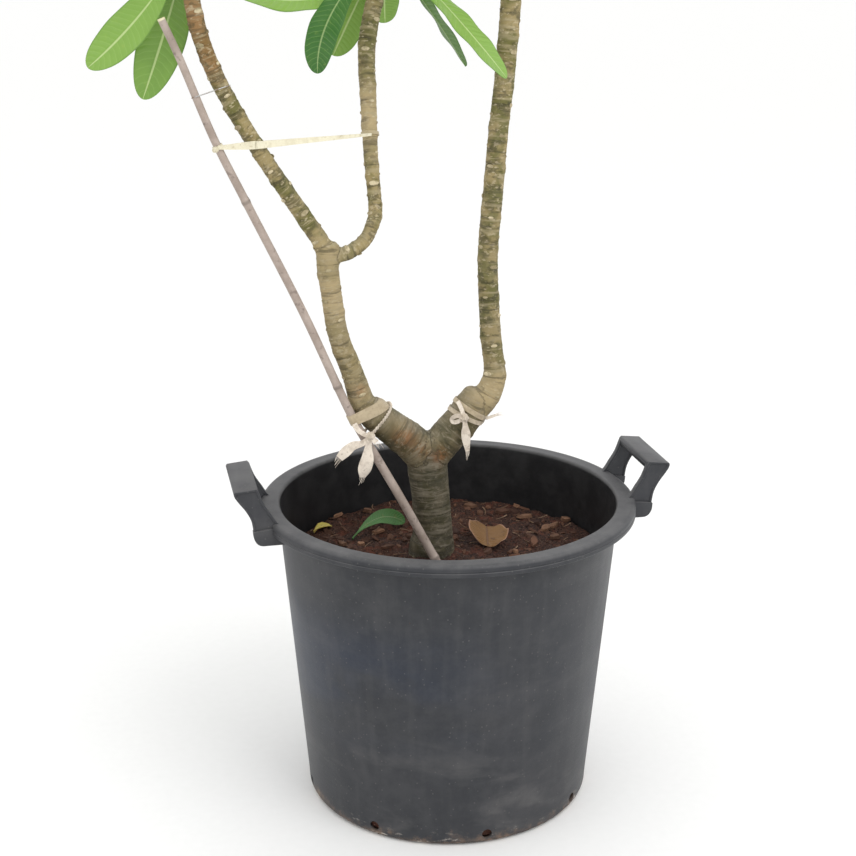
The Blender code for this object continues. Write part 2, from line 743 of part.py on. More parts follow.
def build_tie_right(material):
    """Strip wound twice round the end of the right limb, with a knot, a bow and tails."""
    upper = Vector((0.0272, 0.0040, 0.4818))
    upper_side = Vector((0.0320, 0.0040, 0.4770))
    lower = Vector((0.0217, 0.0040, 0.4729))
    lower_side = Vector((0.0300, 0.0040, 0.4700))
    knot = Vector((0.0140, -0.0220, 0.4770))
    bow = Vector((0.0020, -0.0225, 0.4770))
    cloth = 0.0012
    bodies = [
        lump(knot, (0.0052, 0.0052, 0.0052)),
        strap_ring(
            [(upper, 0.0234), (upper_side, 0.0180)], Vector((0.555, 0, 0.832)), 0.006, cloth, 24,
        ),
        strap_ring(
            [(lower, 0.0240), (lower_side, 0.0168)], Vector((0.45, 0, 0.893)), 0.005, cloth, 24,
        ),
        strap_ring([(bow, 0.0034), (knot, 0.0016)], Vector((0.1, -1, 0.1)), 0.005, cloth, 12),
        ribbon([
            ((0.0140, -0.0215, 0.4790), 0.005, cloth), ((0.0122, -0.0160, 0.4868), 0.005, cloth),
            ((0.0101, -0.0060, 0.4932), 0.005, cloth),
        ], (-0.3, -1, 0.3)),
        ribbon([
            ((0.0140, -0.0235, 0.4780), 0.005, cloth), ((0.0145, -0.0250, 0.4700), 0.006, cloth),
            ((0.0150, -0.0270, 0.4580), 0.011, cloth), ((0.0170, -0.0280, 0.4380), 0.005, cloth),
        ], (0, -1, 0.1)),
        ribbon([
            ((0.0440, -0.0080, 0.4706), 0.004, cloth), ((0.0560, -0.0095, 0.4745), 0.003, cloth),
        ], (0, -1, 0.3)),
    ]
    return joined("tie_right", bodies, material)


def build_tie_band(material):
    """Taut strip from the cane, past the front of one stem, to the middle stem."""
    cane = Vector((-0.2598, -0.0158, 0.7990))
    branch = Vector((-0.0825, 0.0450, 0.8020))
    cloth = 0.0010
    front = 0.0064
    bodies = [
        ribbon([
            ((cane.x - 0.0010, cane.y - front, cane.z), 0.004, cloth),
            ((-0.2320, -0.0182, 0.7998), 0.008, cloth),
            ((-0.2190, -0.0162, 0.8002), 0.009, cloth),
            ((-0.2060, -0.0130, 0.8004), 0.008, cloth),
            ((branch.x - 0.0005, branch.y - 0.0111, branch.z + 0.0005), 0.003, cloth),
        ], (0.2, -1, 0)),
        strap_ring([(cane, 0.0059)], Vector((-0.41, 0, 0.91)), 0.005, cloth, 12),
        strap_ring([(branch, 0.0105)], Vector((0.01, 0.30, 0.95)), 0.004, cloth, 16),
        lump((cane.x - 0.0035, cane.y - 0.0084, cane.z - 0.002), (0.0034, 0.0028, 0.0034), 1),
    ]
    return joined("tie_band", bodies, material)


def build_tie_wire(material):
    """Thin wire loop that draws the cane and the left stem together."""
    cane = Vector((-0.2834, -0.0160, 0.8590))
    branch = Vector((-0.2500, -0.0030, 0.8560))
    ring = strap_ring(
        [(cane, 0.0058), (branch, 0.0108)], Vector((-0.30, 0.12, 0.94)), 0.0013, 0.0013, 18,
    )
    return new_object("tie_wire", ring, material)


def surface_height(ground, spot):
    """Height of the soil's top face above a spot."""
    hit = ground.ray_cast(Vector((spot.x, spot.y, POT_HEIGHT)), Vector((0, 0, -1)))[0]
    return hit.z


def build_fallen_leaves(soil, green, brown, yellow):
    """Three shed leaves that lie on the soil."""
    ground = BVHTree.FromPolygons(
        [vert.co for vert in soil.data.vertices],
        [list(face.vertices) for face in soil.data.polygons],
    )
    rests = [
        ("fallen_leaf_green", green, (-0.108, 0.058), (-0.068, 0.090), (-0.034, 0.098),
         0.012, 0.021, (-0.35, -0.75, 0.55), LEAF_FOLD),
        ("fallen_leaf_brown", brown, (0.064, 0.064), (0.056, 0.028), (0.049, -0.006),
         0.008, 0.050, (0.10, -0.25, 1.0), 0.42),
        ("fallen_leaf_yellow", yellow, (-0.152, 0.092), (-0.140, 0.100), (-0.127, 0.106),
         0.003, 0.016, (0, 0, 1), LEAF_FOLD),
    ]
    for name, material, start, middle, end, arch, width, face, fold in rests:
        points = []
        for (x, y), rise in ((start, 0.0), (middle, arch), (end, 0.0)):
            points.append((x, y, SOIL_LEVEL + rise))
        bm = leaf(*points, width, face, fold)
        spots = [vert.co for vert in bm.verts]
        spots += [(edge.verts[0].co + edge.verts[1].co) / 2 for edge in bm.edges]
        spots += [triangle.calc_center_median() for triangle in bm.faces]
        lift = max(surface_height(ground, spot) - spot.z for spot in spots)
        bmesh.ops.translate(bm, verts=bm.verts, vec=(0, 0, lift + LITTER_LIFT))
        new_object(name, bm, material)


def main():
    clear_scene()
    plastic = make_material("pot_plastic", (0.032, 0.036, 0.045), 0.55)
    earth = make_material("soil_earth", (0.060, 0.026, 0.017), 0.95)
    bark = make_material("bark", (0.200, 0.165, 0.080), 0.80)
    green = make_material("leaf_green", (0.100, 0.240, 0.035), 0.45)
    brown = make_material("leaf_brown", (0.380, 0.180, 0.070), 0.75)
    yellow = make_material("leaf_yellow", (0.520, 0.420, 0.070), 0.65)
    bamboo = make_material("bamboo", (0.450, 0.370, 0.310), 0.60)
    cloth = make_material("tie_cloth", (0.720, 0.660, 0.550), 0.90)
    wire = make_material("tie_wire", (0.500, 0.500, 0.480), 0.45, 0.8)
    build_pot(plastic)
    soil = build_soil(earth, TRUNK_FOOT, cane_foot_rows())
    build_trunk(bark)
    build_leaves(green)
    build_cane(bamboo)
    build_tie_left(cloth)
    build_tie_right(cloth)
    build_tie_band(cloth)
    build_tie_wire(wire)
    build_fallen_leaves(soil, green, brown, yellow)


main()
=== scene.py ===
import math
import random

import bmesh
import bpy
import numpy as np
from mathutils import Euler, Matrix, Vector, noise
from mathutils.bvhtree import BVHTree


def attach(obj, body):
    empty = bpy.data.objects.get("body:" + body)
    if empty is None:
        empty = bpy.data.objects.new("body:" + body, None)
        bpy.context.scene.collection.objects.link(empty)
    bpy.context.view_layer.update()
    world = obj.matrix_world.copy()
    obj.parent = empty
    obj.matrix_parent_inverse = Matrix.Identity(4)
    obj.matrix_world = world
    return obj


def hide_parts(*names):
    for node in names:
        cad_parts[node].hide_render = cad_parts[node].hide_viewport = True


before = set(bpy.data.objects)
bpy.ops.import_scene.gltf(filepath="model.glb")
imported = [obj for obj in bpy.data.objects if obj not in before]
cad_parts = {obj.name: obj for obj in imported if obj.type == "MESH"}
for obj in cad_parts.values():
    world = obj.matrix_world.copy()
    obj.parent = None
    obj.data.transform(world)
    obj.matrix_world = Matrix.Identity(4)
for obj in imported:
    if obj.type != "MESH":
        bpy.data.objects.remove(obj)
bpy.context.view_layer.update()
goldenAngle = math.radians(137.5)


# small helpers for node trees; each works on the tree that was begun last

work = {}


def link(value, socket):
    work["tree"].links.new(value, socket)


def addNode(kind, feeds=None, **settings):
    # feeds holds a value or another node's socket for each input
    nodes = work["tree"].nodes
    node = nodes.new(kind)
    node.location = (190 * (len(nodes) % 12), -280 * (len(nodes) // 12))
    for key, value in settings.items():
        setattr(node, key, value)
    for key, value in (feeds or {}).items():
        if isinstance(value, bpy.types.NodeSocket):
            link(value, node.inputs[key])
        else:
            node.inputs[key].default_value = value
    return node


def calc(operation, first, second=0.0, third=0.0, clamp=False):
    feeds = {0: first, 1: second, 2: third}
    return addNode("ShaderNodeMath", feeds, operation=operation, use_clamp=clamp).outputs[0]


def times(first, second):
    return calc("MULTIPLY", first, second)


def remap(value, low, high, newLow=0.0, newHigh=1.0):
    feeds = {"Value": value, "From Min": low, "From Max": high, "To Min": newLow, "To Max": newHigh}
    return addNode("ShaderNodeMapRange", feeds, interpolation_type="SMOOTHSTEP").outputs[0]


def blendColour(share, first, second):
    # a plain colour is given as red, green and blue
    feeds = {0: share}
    for key, colour in ((6, first), (7, second)):
        feeds[key] = (*colour, 1) if isinstance(colour, tuple) else colour
    return addNode("ShaderNodeMix", feeds, data_type="RGBA").outputs[2]


def paint(colour, tint, mask, strength=None):
    # lays a tint over the colour where the mask is high
    return blendColour(mask if strength is None else times(mask, strength), colour, tint)


def stretched(vector, scale):
    return addNode("ShaderNodeMapping", {"Vector": vector, "Scale": scale}).outputs[0]


def vectorOf(x=0.0, y=0.0, z=0.0):
    return addNode("ShaderNodeCombineXYZ", {0: x, 1: y, 2: z}).outputs[0]


def partsOf(vector):
    return addNode("ShaderNodeSeparateXYZ", {0: vector}).outputs


def noiseValue(vector, scale, detail=3.0, roughness=0.55, distortion=0.0):
    feeds = {"Vector": vector, "Scale": scale, "Detail": detail, "Roughness": roughness,
             "Distortion": distortion}
    return addNode("ShaderNodeTexNoise", feeds).outputs[0]


def cellDistance(vector, scale):
    return addNode("ShaderNodeTexVoronoi", {"Vector": vector, "Scale": scale}).outputs["Distance"]


def readAttribute(name, output="Fac"):
    return addNode("ShaderNodeAttribute", attribute_name=name).outputs[output]


def newTree(name, kind, inputs, outputs):
    tree = bpy.data.node_groups.new(name, kind)
    work["tree"] = tree
    for label, socketType, value in inputs:
        socket = tree.interface.new_socket(label, in_out="INPUT", socket_type="NodeSocket" + socketType)
        if value is not None:
            socket.default_value = value
    for label, socketType in outputs:
        tree.interface.new_socket(label, in_out="OUTPUT", socket_type="NodeSocket" + socketType)
    return tree, addNode("NodeGroupInput").outputs, addNode("NodeGroupOutput").inputs


# shader groups that several materials share

def makeSoftPatches():
    # broad, soft-edged stains
    tree, given, result = newTree(
        "softPatches", "ShaderNodeTree",
        [("Vector", "Vector", None), ("Scale", "Float", 5.0), ("Low", "Float", 0.4),
         ("High", "Float", 0.7), ("Detail", "Float", 4.0)],
        [("Mask", "Float")],
    )
    cloud = noiseValue(given["Vector"], given["Scale"], given["Detail"], 0.6, 0.35)
    link(remap(cloud, given["Low"], given["High"]), result["Mask"])
    return tree


def makeFineGrain():
    # close grain for bump, with sparse pale flecks
    tree, given, result = newTree(
        "fineGrain", "ShaderNodeTree",
        [("Vector", "Vector", None), ("Scale", "Float", 300.0), ("Fleck Scale", "Float", 160.0),
         ("Fleck Size", "Float", 0.16)],
        [("Height", "Float"), ("Flecks", "Float")],
    )
    close = noiseValue(given["Vector"], given["Scale"], 4.0, 0.65)
    spots = cellDistance(given["Vector"], given["Fleck Scale"])
    flecks = calc("LESS_THAN", spots, given["Fleck Size"])
    link(close, result["Height"])
    link(flecks, result["Flecks"])
    return tree


def makeSettledDust():
    # dust that lies on faces that look up, and in patches elsewhere
    tree, given, result = newTree(
        "settledDust", "ShaderNodeTree",
        [("Vector", "Vector", None), ("Scale", "Float", 20.0), ("Flat Share", "Float", 0.8),
         ("Side Share", "Float", 0.15)],
        [("Mask", "Float")],
    )
    normal = addNode("ShaderNodeNewGeometry").outputs["Normal"]
    up = partsOf(normal)[2]
    flat = remap(up, 0.15, 0.95)
    cloud = noiseValue(given["Vector"], given["Scale"], 5.0, 0.7)
    soft = remap(cloud, 0.35, 0.70)
    top = times(flat, given["Flat Share"])
    side = times(soft, given["Side Share"])
    broken = times(top, remap(cloud, 0.25, 0.6, 0.45, 1.0))
    link(calc("ADD", broken, side, clamp=True), result["Mask"])
    return tree


def makeLeafVeins():
    # rib, side veins and margin from the blade's own map: u across, v along
    tree, given, result = newTree(
        "leafVeins", "ShaderNodeTree",
        [("Map", "Vector", None), ("Pairs", "Float", 22.0), ("Slope", "Float", 1.6),
         ("Rib Width", "Float", 0.05)],
        [("Rib", "Float"), ("Veins", "Float"), ("Margin", "Float"), ("Height", "Float")],
    )
    parts = partsOf(given["Map"])
    across = calc("ABSOLUTE", calc("MULTIPLY_ADD", parts[0], 2.0, -1.0))
    bent = noiseValue(given["Map"], 7.0, 1.0)
    lean = times(calc("POWER", across, 1.35), given["Slope"])
    order = calc("SUBTRACT", times(parts[1], given["Pairs"]), lean)
    order = calc("ADD", order, times(bent, 0.35))
    wave = calc("PINGPONG", order, 0.5)
    veins = remap(wave, 0.10, 0.0)
    inside = remap(across, 0.97, 0.86)
    veins = times(veins, inside)
    rib = remap(across, times(given["Rib Width"], 1.7), given["Rib Width"])
    margin = remap(across, 0.90, 1.0)
    quilt = times(remap(wave, 0.0, 0.5), inside)
    height = calc("ADD", times(quilt, 0.6), times(rib, 0.9))
    for label, value in (("Rib", rib), ("Veins", veins), ("Margin", margin), ("Height", height)):
        link(value, result[label])
    return tree


def makeClothWeave():
    # plain weave from the strip's own map, in threads
    tree, given, result = newTree(
        "clothWeave", "ShaderNodeTree",
        [("Map", "Vector", None), ("Threads", "Float", 900.0)],
        [("Height", "Float"), ("Gaps", "Float")],
    )
    parts = partsOf(given["Map"])
    warp = calc("SINE", times(parts[0], given["Threads"]))
    weft = calc("SINE", times(parts[1], given["Threads"]))
    weave = times(warp, weft)
    height = calc("MULTIPLY_ADD", weave, 0.5, 0.5)
    link(height, result["Height"])
    link(remap(height, 0.25, 0.0), result["Gaps"])
    return tree


softPatches = makeSoftPatches()
fineGrain = makeFineGrain()
settledDust = makeSettledDust()
leafVeins = makeLeafVeins()
clothWeave = makeClothWeave()
print("shader groups are ready")


def useGroup(group, feeds):
    return addNode("ShaderNodeGroup", feeds, node_tree=group).outputs


def softMask(vector, scale, low, high, detail=4.0):
    feeds = {"Vector": vector, "Scale": scale, "Low": low, "High": high, "Detail": detail}
    return useGroup(softPatches, feeds)["Mask"]


def grainOf(vector, scale, fleckScale, fleckSize):
    return useGroup(fineGrain, {"Vector": vector, "Scale": scale, "Fleck Scale": fleckScale,
                                "Fleck Size": fleckSize})


def dustMask(vector, scale, flatShare, sideShare):
    return useGroup(settledDust, {"Vector": vector, "Scale": scale, "Flat Share": flatShare,
                                  "Side Share": sideShare})["Mask"]


def newMaterial(name, fixed):
    # fixed holds the sockets that are the same all over
    material = bpy.data.materials.new(name)
    material.use_nodes = True
    work["tree"] = material.node_tree
    shader = material.node_tree.nodes["Principled BSDF"]
    for key, value in fixed.items():
        shader.inputs[key].default_value = value
    return material, shader, addNode("ShaderNodeTexCoord").outputs["Object"]


def finishMaterial(shader, colour, roughness, height, strength, distance):
    bump = addNode("ShaderNodeBump", {"Height": height, "Strength": strength, "Distance": distance})
    link(bump.outputs[0], shader.inputs["Normal"])
    link(colour, shader.inputs["Base Color"])
    link(roughness, shader.inputs["Roughness"])


# small helpers for shape trees

def stored(shape, name, value, kind="FLOAT", domain="POINT"):
    feeds = {"Geometry": shape, "Name": name, "Value": value}
    return addNode("GeometryNodeStoreNamedAttribute", feeds, data_type=kind, domain=domain).outputs[0]


def readField(name, kind="FLOAT"):
    return addNode("GeometryNodeInputNamedAttribute", {0: name}, data_type=kind).outputs[0]


def randomBetween(low, high, seed):
    feeds = {2: low, 3: high, "Seed": seed}
    return addNode("FunctionNodeRandomValue", feeds, data_type="FLOAT").outputs[1]


def realized(shape):
    return addNode("GeometryNodeRealizeInstances", {0: shape}).outputs[0]


def finishShape(shape, given, result):
    feeds = {"Geometry": shape, "Material": given["Material"]}
    link(addNode("GeometryNodeSetMaterial", feeds).outputs[0], result["Geometry"])


# small helpers for meshes

def makeObject(name, verts, faces, material=None, smooth=True, sharp=None):
    mesh = bpy.data.meshes.new(name)
    mesh.from_pydata([tuple(point) for point in verts], [], [tuple(face) for face in faces])
    mesh.update()
    if smooth:
        mesh.shade_smooth()
    if sharp:
        mesh.set_sharp_from_angle(angle=math.radians(sharp))
    if material:
        mesh.materials.append(material)
    item = bpy.data.objects.new(name, mesh)
    bpy.context.scene.collection.objects.link(item)
    return item


def fixNormals(item):
    bm = bmesh.new()
    bm.from_mesh(item.data)
    bmesh.ops.recalc_face_normals(bm, faces=bm.faces)
    bm.to_mesh(item.data)
    bm.free()
    return item


def bakeModifiers(item):
    # the evaluated result becomes a plain mesh, and the modifiers go
    graph = bpy.context.evaluated_depsgraph_get()
    mesh = bpy.data.meshes.new_from_object(item.evaluated_get(graph))
    item.modifiers.clear()
    item.data = mesh
    mesh.name = item.name
    return item


def growNodes(item, tree, values):
    # runs a node tree on an object and keeps its result as a mesh
    modifier = item.modifiers.new(tree.name, "NODES")
    modifier.node_group = tree
    named = {socket.name: socket.identifier for socket in tree.interface.items_tree
             if socket.in_out == "INPUT"}
    for label, value in values.items():
        modifier[named[label]] = value
    return bakeModifiers(item)


def addField(item, name, values, kind="FLOAT"):
    field = item.data.attributes.new(name, kind, "POINT")
    key = "vector" if kind == "FLOAT_VECTOR" else "value"
    field.data.foreach_set(key, np.asarray(values, np.float32).ravel())


def addMap(item, name, uvs):
    # one map place for each point of the mesh
    layer = item.data.uv_layers.new(name=name)
    corners = np.zeros(len(item.data.loops), np.int32)
    item.data.loops.foreach_get("vertex_index", corners)
    layer.data.foreach_set("uv", np.array(uvs, np.float32)[corners].ravel())


def surfaceTree(item):
    # for casting rays at an object
    return BVHTree.FromPolygons([vert.co for vert in item.data.vertices],
                                [tuple(face.vertices) for face in item.data.polygons])


def evenCurve(rows, spacing):
    # even steps along a smooth curve through rows of x, y, z and further numbers
    points = np.array(rows, float)
    ends = np.vstack([2 * points[0] - points[1], points, 2 * points[-1] - points[-2]])
    fine = []
    for before, start, end, after in zip(ends, ends[1:], ends[2:], ends[3:]):
        for t in np.arange(12) / 12:
            fine.append(0.5 * (2 * start + (end - before) * t
                               + (2 * before - 5 * start + 4 * end - after) * t * t
                               + (3 * start - before - 3 * end + after) * t ** 3))
    fine = np.array(fine + [points[-1]])
    steps = np.linalg.norm(np.diff(fine[:, :3], axis=0), axis=1)
    lengths = np.concatenate([[0.0], np.cumsum(steps)])
    count = max(2, round(lengths[-1] / spacing))
    places = np.linspace(0, lengths[-1], count + 1)
    return np.column_stack([np.interp(places, lengths, fine[:, k]) for k in range(fine.shape[1])])


def pathFrames(centres):
    # tangent and two side directions at each centre, without twist
    frames = []
    side = None
    for index in range(len(centres)):
        tangent = centres[min(len(centres) - 1, index + 1)] - centres[max(0, index - 1)]
        tangent = tangent / np.linalg.norm(tangent)
        if side is None:
            side = np.array((1.0, 0, 0)) if abs(tangent[0]) < 0.8 else np.array((0, 1.0, 0))
        side = side - tangent * side.dot(tangent)
        side /= np.linalg.norm(side)
        frames.append((tangent, side, np.cross(tangent, side)))
    return frames


def ringFaces(rows, around, base=0, closedAlong=False, caps=True):
    # quads over rings of equally many points
    faces = []
    last = rows if closedAlong else rows - 1
    for row in range(last):
        low = base + row * around
        high = base + ((row + 1) % rows) * around
        for k in range(around):
            after = (k + 1) % around
            faces.append((low + k, low + after, high + after, high + k))
    if caps and not closedAlong:
        faces.append(tuple(base + k for k in reversed(range(around))))
        faces.append(tuple(base + (rows - 1) * around + k for k in range(around)))
    return faces


def unit(vector):
    vector = np.asarray(vector, float)
    return vector / np.linalg.norm(vector)


# camera and light

cameraSetup = {"place": (-0.389, -1.7146, 1.010), "tilt": 72.6, "turn": -12.0, "lens": 65.19,
               "sensor": 36.0}

cameraData = bpy.data.cameras.new("viewCamera")
cameraData.lens = cameraSetup["lens"]
cameraData.sensor_width = cameraSetup["sensor"]
camera = bpy.data.objects.new("viewCamera", cameraData)
camera.location = cameraSetup["place"]
camera.rotation_euler = (math.radians(cameraSetup["tilt"]), 0, math.radians(cameraSetup["turn"]))
bpy.context.scene.collection.objects.link(camera)
bpy.context.scene.camera = camera
bpy.context.scene.view_settings.view_transform = "Standard"   # colours stay as the materials give them

studio = {"sky": 1.08, "keyPlace": (1.0, -1.7, 2.5), "keyPower": 24.0, "keySize": 1.6,
          "fillPlace": (-1.9, -0.9, 1.5), "fillPower": 3.0, "fillSize": 1.6, "floorSize": 160.0}

world = bpy.data.worlds.new("softRoom")
bpy.context.scene.world = world
world.use_nodes = True
world.node_tree.nodes["Background"].inputs["Color"].default_value = (1.0, 1.0, 1.0, 1)
world.node_tree.nodes["Background"].inputs["Strength"].default_value = studio["sky"]


def addLamp(name, place, power, size):
    data = bpy.data.lights.new(name, "AREA")
    data.energy = power
    data.size = size
    lamp = bpy.data.objects.new(name, data)
    lamp.location = place
    aim = Vector((0, 0, 0.5)) - Vector(place)
    lamp.rotation_euler = aim.to_track_quat("-Z", "Y").to_euler()
    bpy.context.scene.collection.objects.link(lamp)


addLamp("keyLamp", studio["keyPlace"], studio["keyPower"], studio["keySize"])
addLamp("fillLamp", studio["fillPlace"], studio["fillPower"], studio["fillSize"])

floorMaterial, shader, spot = newMaterial("paleFloor", {"Roughness": 0.9})
paper = noiseValue(spot, 90.0, 3.0)
link(blendColour(paper, (0.90, 0.90, 0.89), (0.94, 0.94, 0.93)), shader.inputs["Base Color"])
half = studio["floorSize"] / 2
floor = makeObject("studioFloor", [(-half, -half, 0), (half, -half, 0), (half, half, 0),
                                   (-half, half, 0)], [(0, 1, 2, 3)], floorMaterial)
print("camera, lamps and floor are set")


# pot

pot = {
    "height": 0.374, "baseRadius": 0.174, "topRadius": 0.2045, "rimRadius": 0.225,
    "wall": 0.003, "floor": 0.004, "baseCorner": 0.010, "rimSkirt": 0.0135, "rimPlate": 0.0055,
    "sides": 192, "drainHoles": 8, "drainRadius": 0.006, "drainHeight": 0.014, "drainTurn": 3.0,
    "handleLength": 0.107, "handleLeg": 0.008, "legRecess": 0.0014, "legFlange": 0.0024,
    "footProud": 0.0022, "legBevel": 0.0005, "footBevel": 0.0011, "barBevel": 0.0008,
}


def arcPoints(centre, radius, fromAngle, toAngle, steps):
    points = []
    for k in range(steps + 1):
        turn = math.radians(fromAngle + (toAngle - fromAngle) * k / steps)
        points.append((centre[0] + radius * math.cos(turn), centre[1] + radius * math.sin(turn)))
    return points


def potProfile():
    # outline of the wall from the axis, up the outside and down the inside
    top, plate, skirt = pot["height"], pot["rimPlate"], pot["rimSkirt"]
    corner, base, rim = pot["baseCorner"], pot["baseRadius"], pot["rimRadius"]
    inner = pot["topRadius"] - pot["wall"]
    outline = [(0.0, 0.0012), (base * 0.55, 0.0012), (base * 0.90, 0.0012), (base * 0.92, 0.0)]
    outline += arcPoints((base - corner, corner), corner, -88, -6, 7)
    outline += [(base + 0.0006, corner + 0.010), (pot["topRadius"], top - plate - 0.0012)]
    outline += arcPoints((pot["topRadius"] + 0.0014, top - plate - 0.0014), 0.0014, 180, 90, 3)
    outline += [(rim - 0.0045, top - plate)]
    outline += arcPoints((rim - 0.0044, top - plate - 0.0016), 0.0016, 90, 0, 3)
    outline += [(rim - 0.0026, top - skirt + 0.0012)]
    outline += arcPoints((rim - 0.0013, top - skirt + 0.0013), 0.0013, 180, 360, 6)
    outline += [(rim, top - 0.0092), (rim - 0.0007, top - 0.0084), (rim - 0.0007, top - 0.0078),
                (rim - 0.0001, top - 0.0070)]
    outline += arcPoints((rim - 0.0055, top - 0.0055), 0.0055, 0, 90, 7)
    outline += [(rim - 0.010, top - 0.0002), (rim - 0.015, top - 0.0002)]
    outline += arcPoints((inner + 0.0045, top - 0.0045), 0.0045, 90, 180, 6)
    outline += [(inner - 0.0005, top - 0.010), (base - pot["wall"] + 0.0004, corner + 0.004)]
    outline += arcPoints((base - pot["wall"] - 0.006, pot["floor"] + 0.006), 0.006, 0, -90, 4)
    outline += [(0.0, pot["floor"])]
    return outline


def makePotTree():
    # turns a profile into a closed wall and cuts the drain holes
    tree, given, result = newTree(
        "turnedPot", "GeometryNodeTree",
        [("Geometry", "Geometry", None), ("Sides", "Int", 64), ("Hole Count", "Int", 8),
         ("Hole Radius", "Float", 0.006), ("Hole Height", "Float", 0.014),
         ("Hole Turn", "Float", 0.0), ("Foot Radius", "Float", 0.17), ("Material", "Material", None)],
        [("Geometry", "Geometry")],
    )
    size = addNode("GeometryNodeAttributeDomainSize", {0: given["Geometry"]})
    count = size.outputs["Point Count"]
    span = calc("SUBTRACT", count, 1.0)
    grid = addNode("GeometryNodeMeshGrid", {
        "Size X": span, "Size Y": 1.0, "Vertices X": count,
        "Vertices Y": calc("ADD", given["Sides"], 1.0),
    }).outputs[0]
    spot = partsOf(addNode("GeometryNodeInputPosition").outputs[0])
    row = calc("ROUND", calc("ADD", spot[0], times(span, 0.5)))
    turn = times(calc("ADD", spot[1], 0.5), 2 * math.pi)
    outline = addNode("GeometryNodeSampleIndex", {
        "Geometry": given["Geometry"], "Value": addNode("GeometryNodeInputPosition").outputs[0],
        "Index": row,
    }, data_type="FLOAT_VECTOR", domain="POINT")
    rim = partsOf(outline.outputs[0])
    place = vectorOf(times(rim[0], calc("COSINE", turn)), times(rim[0], calc("SINE", turn)), rim[2])
    wall = addNode("GeometryNodeSetPosition", {"Geometry": grid, "Position": place}).outputs[0]
    wall = addNode("GeometryNodeMergeByDistance", {"Geometry": wall, "Distance": 1e-6}).outputs[0]
    ring = addNode("GeometryNodeMeshCircle", {
        "Vertices": given["Hole Count"], "Radius": given["Foot Radius"],
    }).outputs[0]
    outward = addNode("GeometryNodeInputPosition").outputs[0]
    aim = addNode("FunctionNodeAlignRotationToVector", {"Vector": outward}, axis="Z").outputs[0]
    rod = addNode("GeometryNodeMeshCylinder", {
        "Vertices": 24, "Radius": given["Hole Radius"], "Depth": 0.02,
    }).outputs[0]
    rods = addNode("GeometryNodeInstanceOnPoints", {
        "Points": ring, "Instance": rod, "Rotation": aim,
    }).outputs[0]
    rods = addNode("GeometryNodeTransform", {
        "Geometry": realized(rods),
        "Translation": vectorOf(z=given["Hole Height"]),
        "Rotation": vectorOf(z=given["Hole Turn"]),
    }).outputs[0]
    holed = addNode("GeometryNodeMeshBoolean", {"Mesh 1": wall}, operation="DIFFERENCE")
    link(rods, holed.inputs["Mesh 2"])
    finishShape(realized(holed.outputs[0]), given, result)
    return tree


def makePotMaterial():
    material, shader, spot = newMaterial("dustyCharcoalPlastic", {
        "Specular IOR Level": 0.30, "Metallic": 0.0,
    })
    xyz = partsOf(spot)
    flat = vectorOf(xyz[0], xyz[1])
    reach = addNode("ShaderNodeVectorMath", {0: flat}, operation="LENGTH").outputs["Value"]
    wallLine = calc("MULTIPLY_ADD", xyz[2], 0.0852, pot["baseRadius"] - 0.0028)
    outside = remap(calc("SUBTRACT", reach, wallLine), 0.0, 0.002)
    cloudy = softMask(spot, 4.0, 0.36, 0.70)
    smudge = softMask(stretched(spot, (1.0, 1.0, 2.6)), 6.5, 0.52, 0.76, 5.0)
    low = remap(xyz[2], 0.16, 0.05, 0.25, 1.0)
    blue = softMask(stretched(spot, (1, 1, 2.4)), 3.2, 0.34, 0.60)
    band = times(remap(xyz[2], 0.09, 0.17), remap(xyz[2], 0.31, 0.22))
    blue = times(blue, times(band, remap(xyz[0], 0.06, -0.12, 0.15, 1.0)))
    streaks = remap(noiseValue(stretched(spot, (70, 70, 5)), 1.0, 3.0), 0.45, 0.75)
    dust = dustMask(spot, 34.0, 0.32, 0.06)
    grain = grainOf(spot, 900.0, 130.0, 0.12)
    colour = blendColour(cloudy, (0.026, 0.028, 0.033), (0.039, 0.040, 0.045))
    colour = paint(colour, (0.020, 0.030, 0.056), blue, 0.55)
    colour = paint(colour, (0.130, 0.126, 0.124), times(smudge, low), 0.60)
    colour = paint(colour, (0.14, 0.135, 0.13), streaks, 0.08)
    colour = paint(colour, (0.17, 0.16, 0.15), grain["Flecks"], 0.25)
    # painted shade: where the surface lies inside the outer wall line (the inside of the pot and its floor),
    # the plastic is painted near black
    colour = paint(colour, (0.010, 0.010, 0.011), calc("SUBTRACT", 1.0, outside))
    colour = paint(colour, (0.22, 0.215, 0.215), dust)
    # dried soil and lime round the foot
    rising = calc("MULTIPLY_ADD", noiseValue(spot, 24.0, 5.0, 0.7), 0.075, -0.022)
    stain = remap(xyz[2], rising, calc("SUBTRACT", rising, 0.016))
    stain = times(stain, remap(noiseValue(spot, 75.0, 4.0), 0.30, 0.62))
    colour = paint(colour, (0.23, 0.15, 0.10), stain, 0.75)
    lime = remap(noiseValue(stretched(spot, (1, 1, 2.5)), 52.0, 5.0, 0.7), 0.56, 0.70)
    lime = times(lime, remap(xyz[2], 0.024, 0.004))
    colour = paint(colour, (0.55, 0.50, 0.44), lime, 0.8)
    roughness = calc("ADD", remap(cloudy, 0.0, 1.0, 0.40, 0.52), times(dust, 0.35))
    rings = calc("SINE", times(xyz[2], 900.0))
    height = calc("MULTIPLY_ADD", rings, 0.05, times(grain["Height"], 0.6))
    finishMaterial(shader, colour, roughness, height, 0.35, 0.0006)
    return material


def handleOutline():
    # side view of a leg: distance from the pot's axis and height
    return [
        (0.2590, 0.4150), (0.2605, 0.4110), (0.2560, 0.4030), (0.2480, 0.3920),
        (0.2420, 0.3800), (0.2395, 0.3660), (0.2385, 0.3575), (0.2350, 0.3515),
        (0.2290, 0.3490), (0.1968, 0.3490), (0.1968, 0.3640), (0.2060, 0.3705),
        (0.2130, 0.3765), (0.2190, 0.3860), (0.2270, 0.3990), (0.2330, 0.4150),
        (0.2350, 0.4175),
    ]


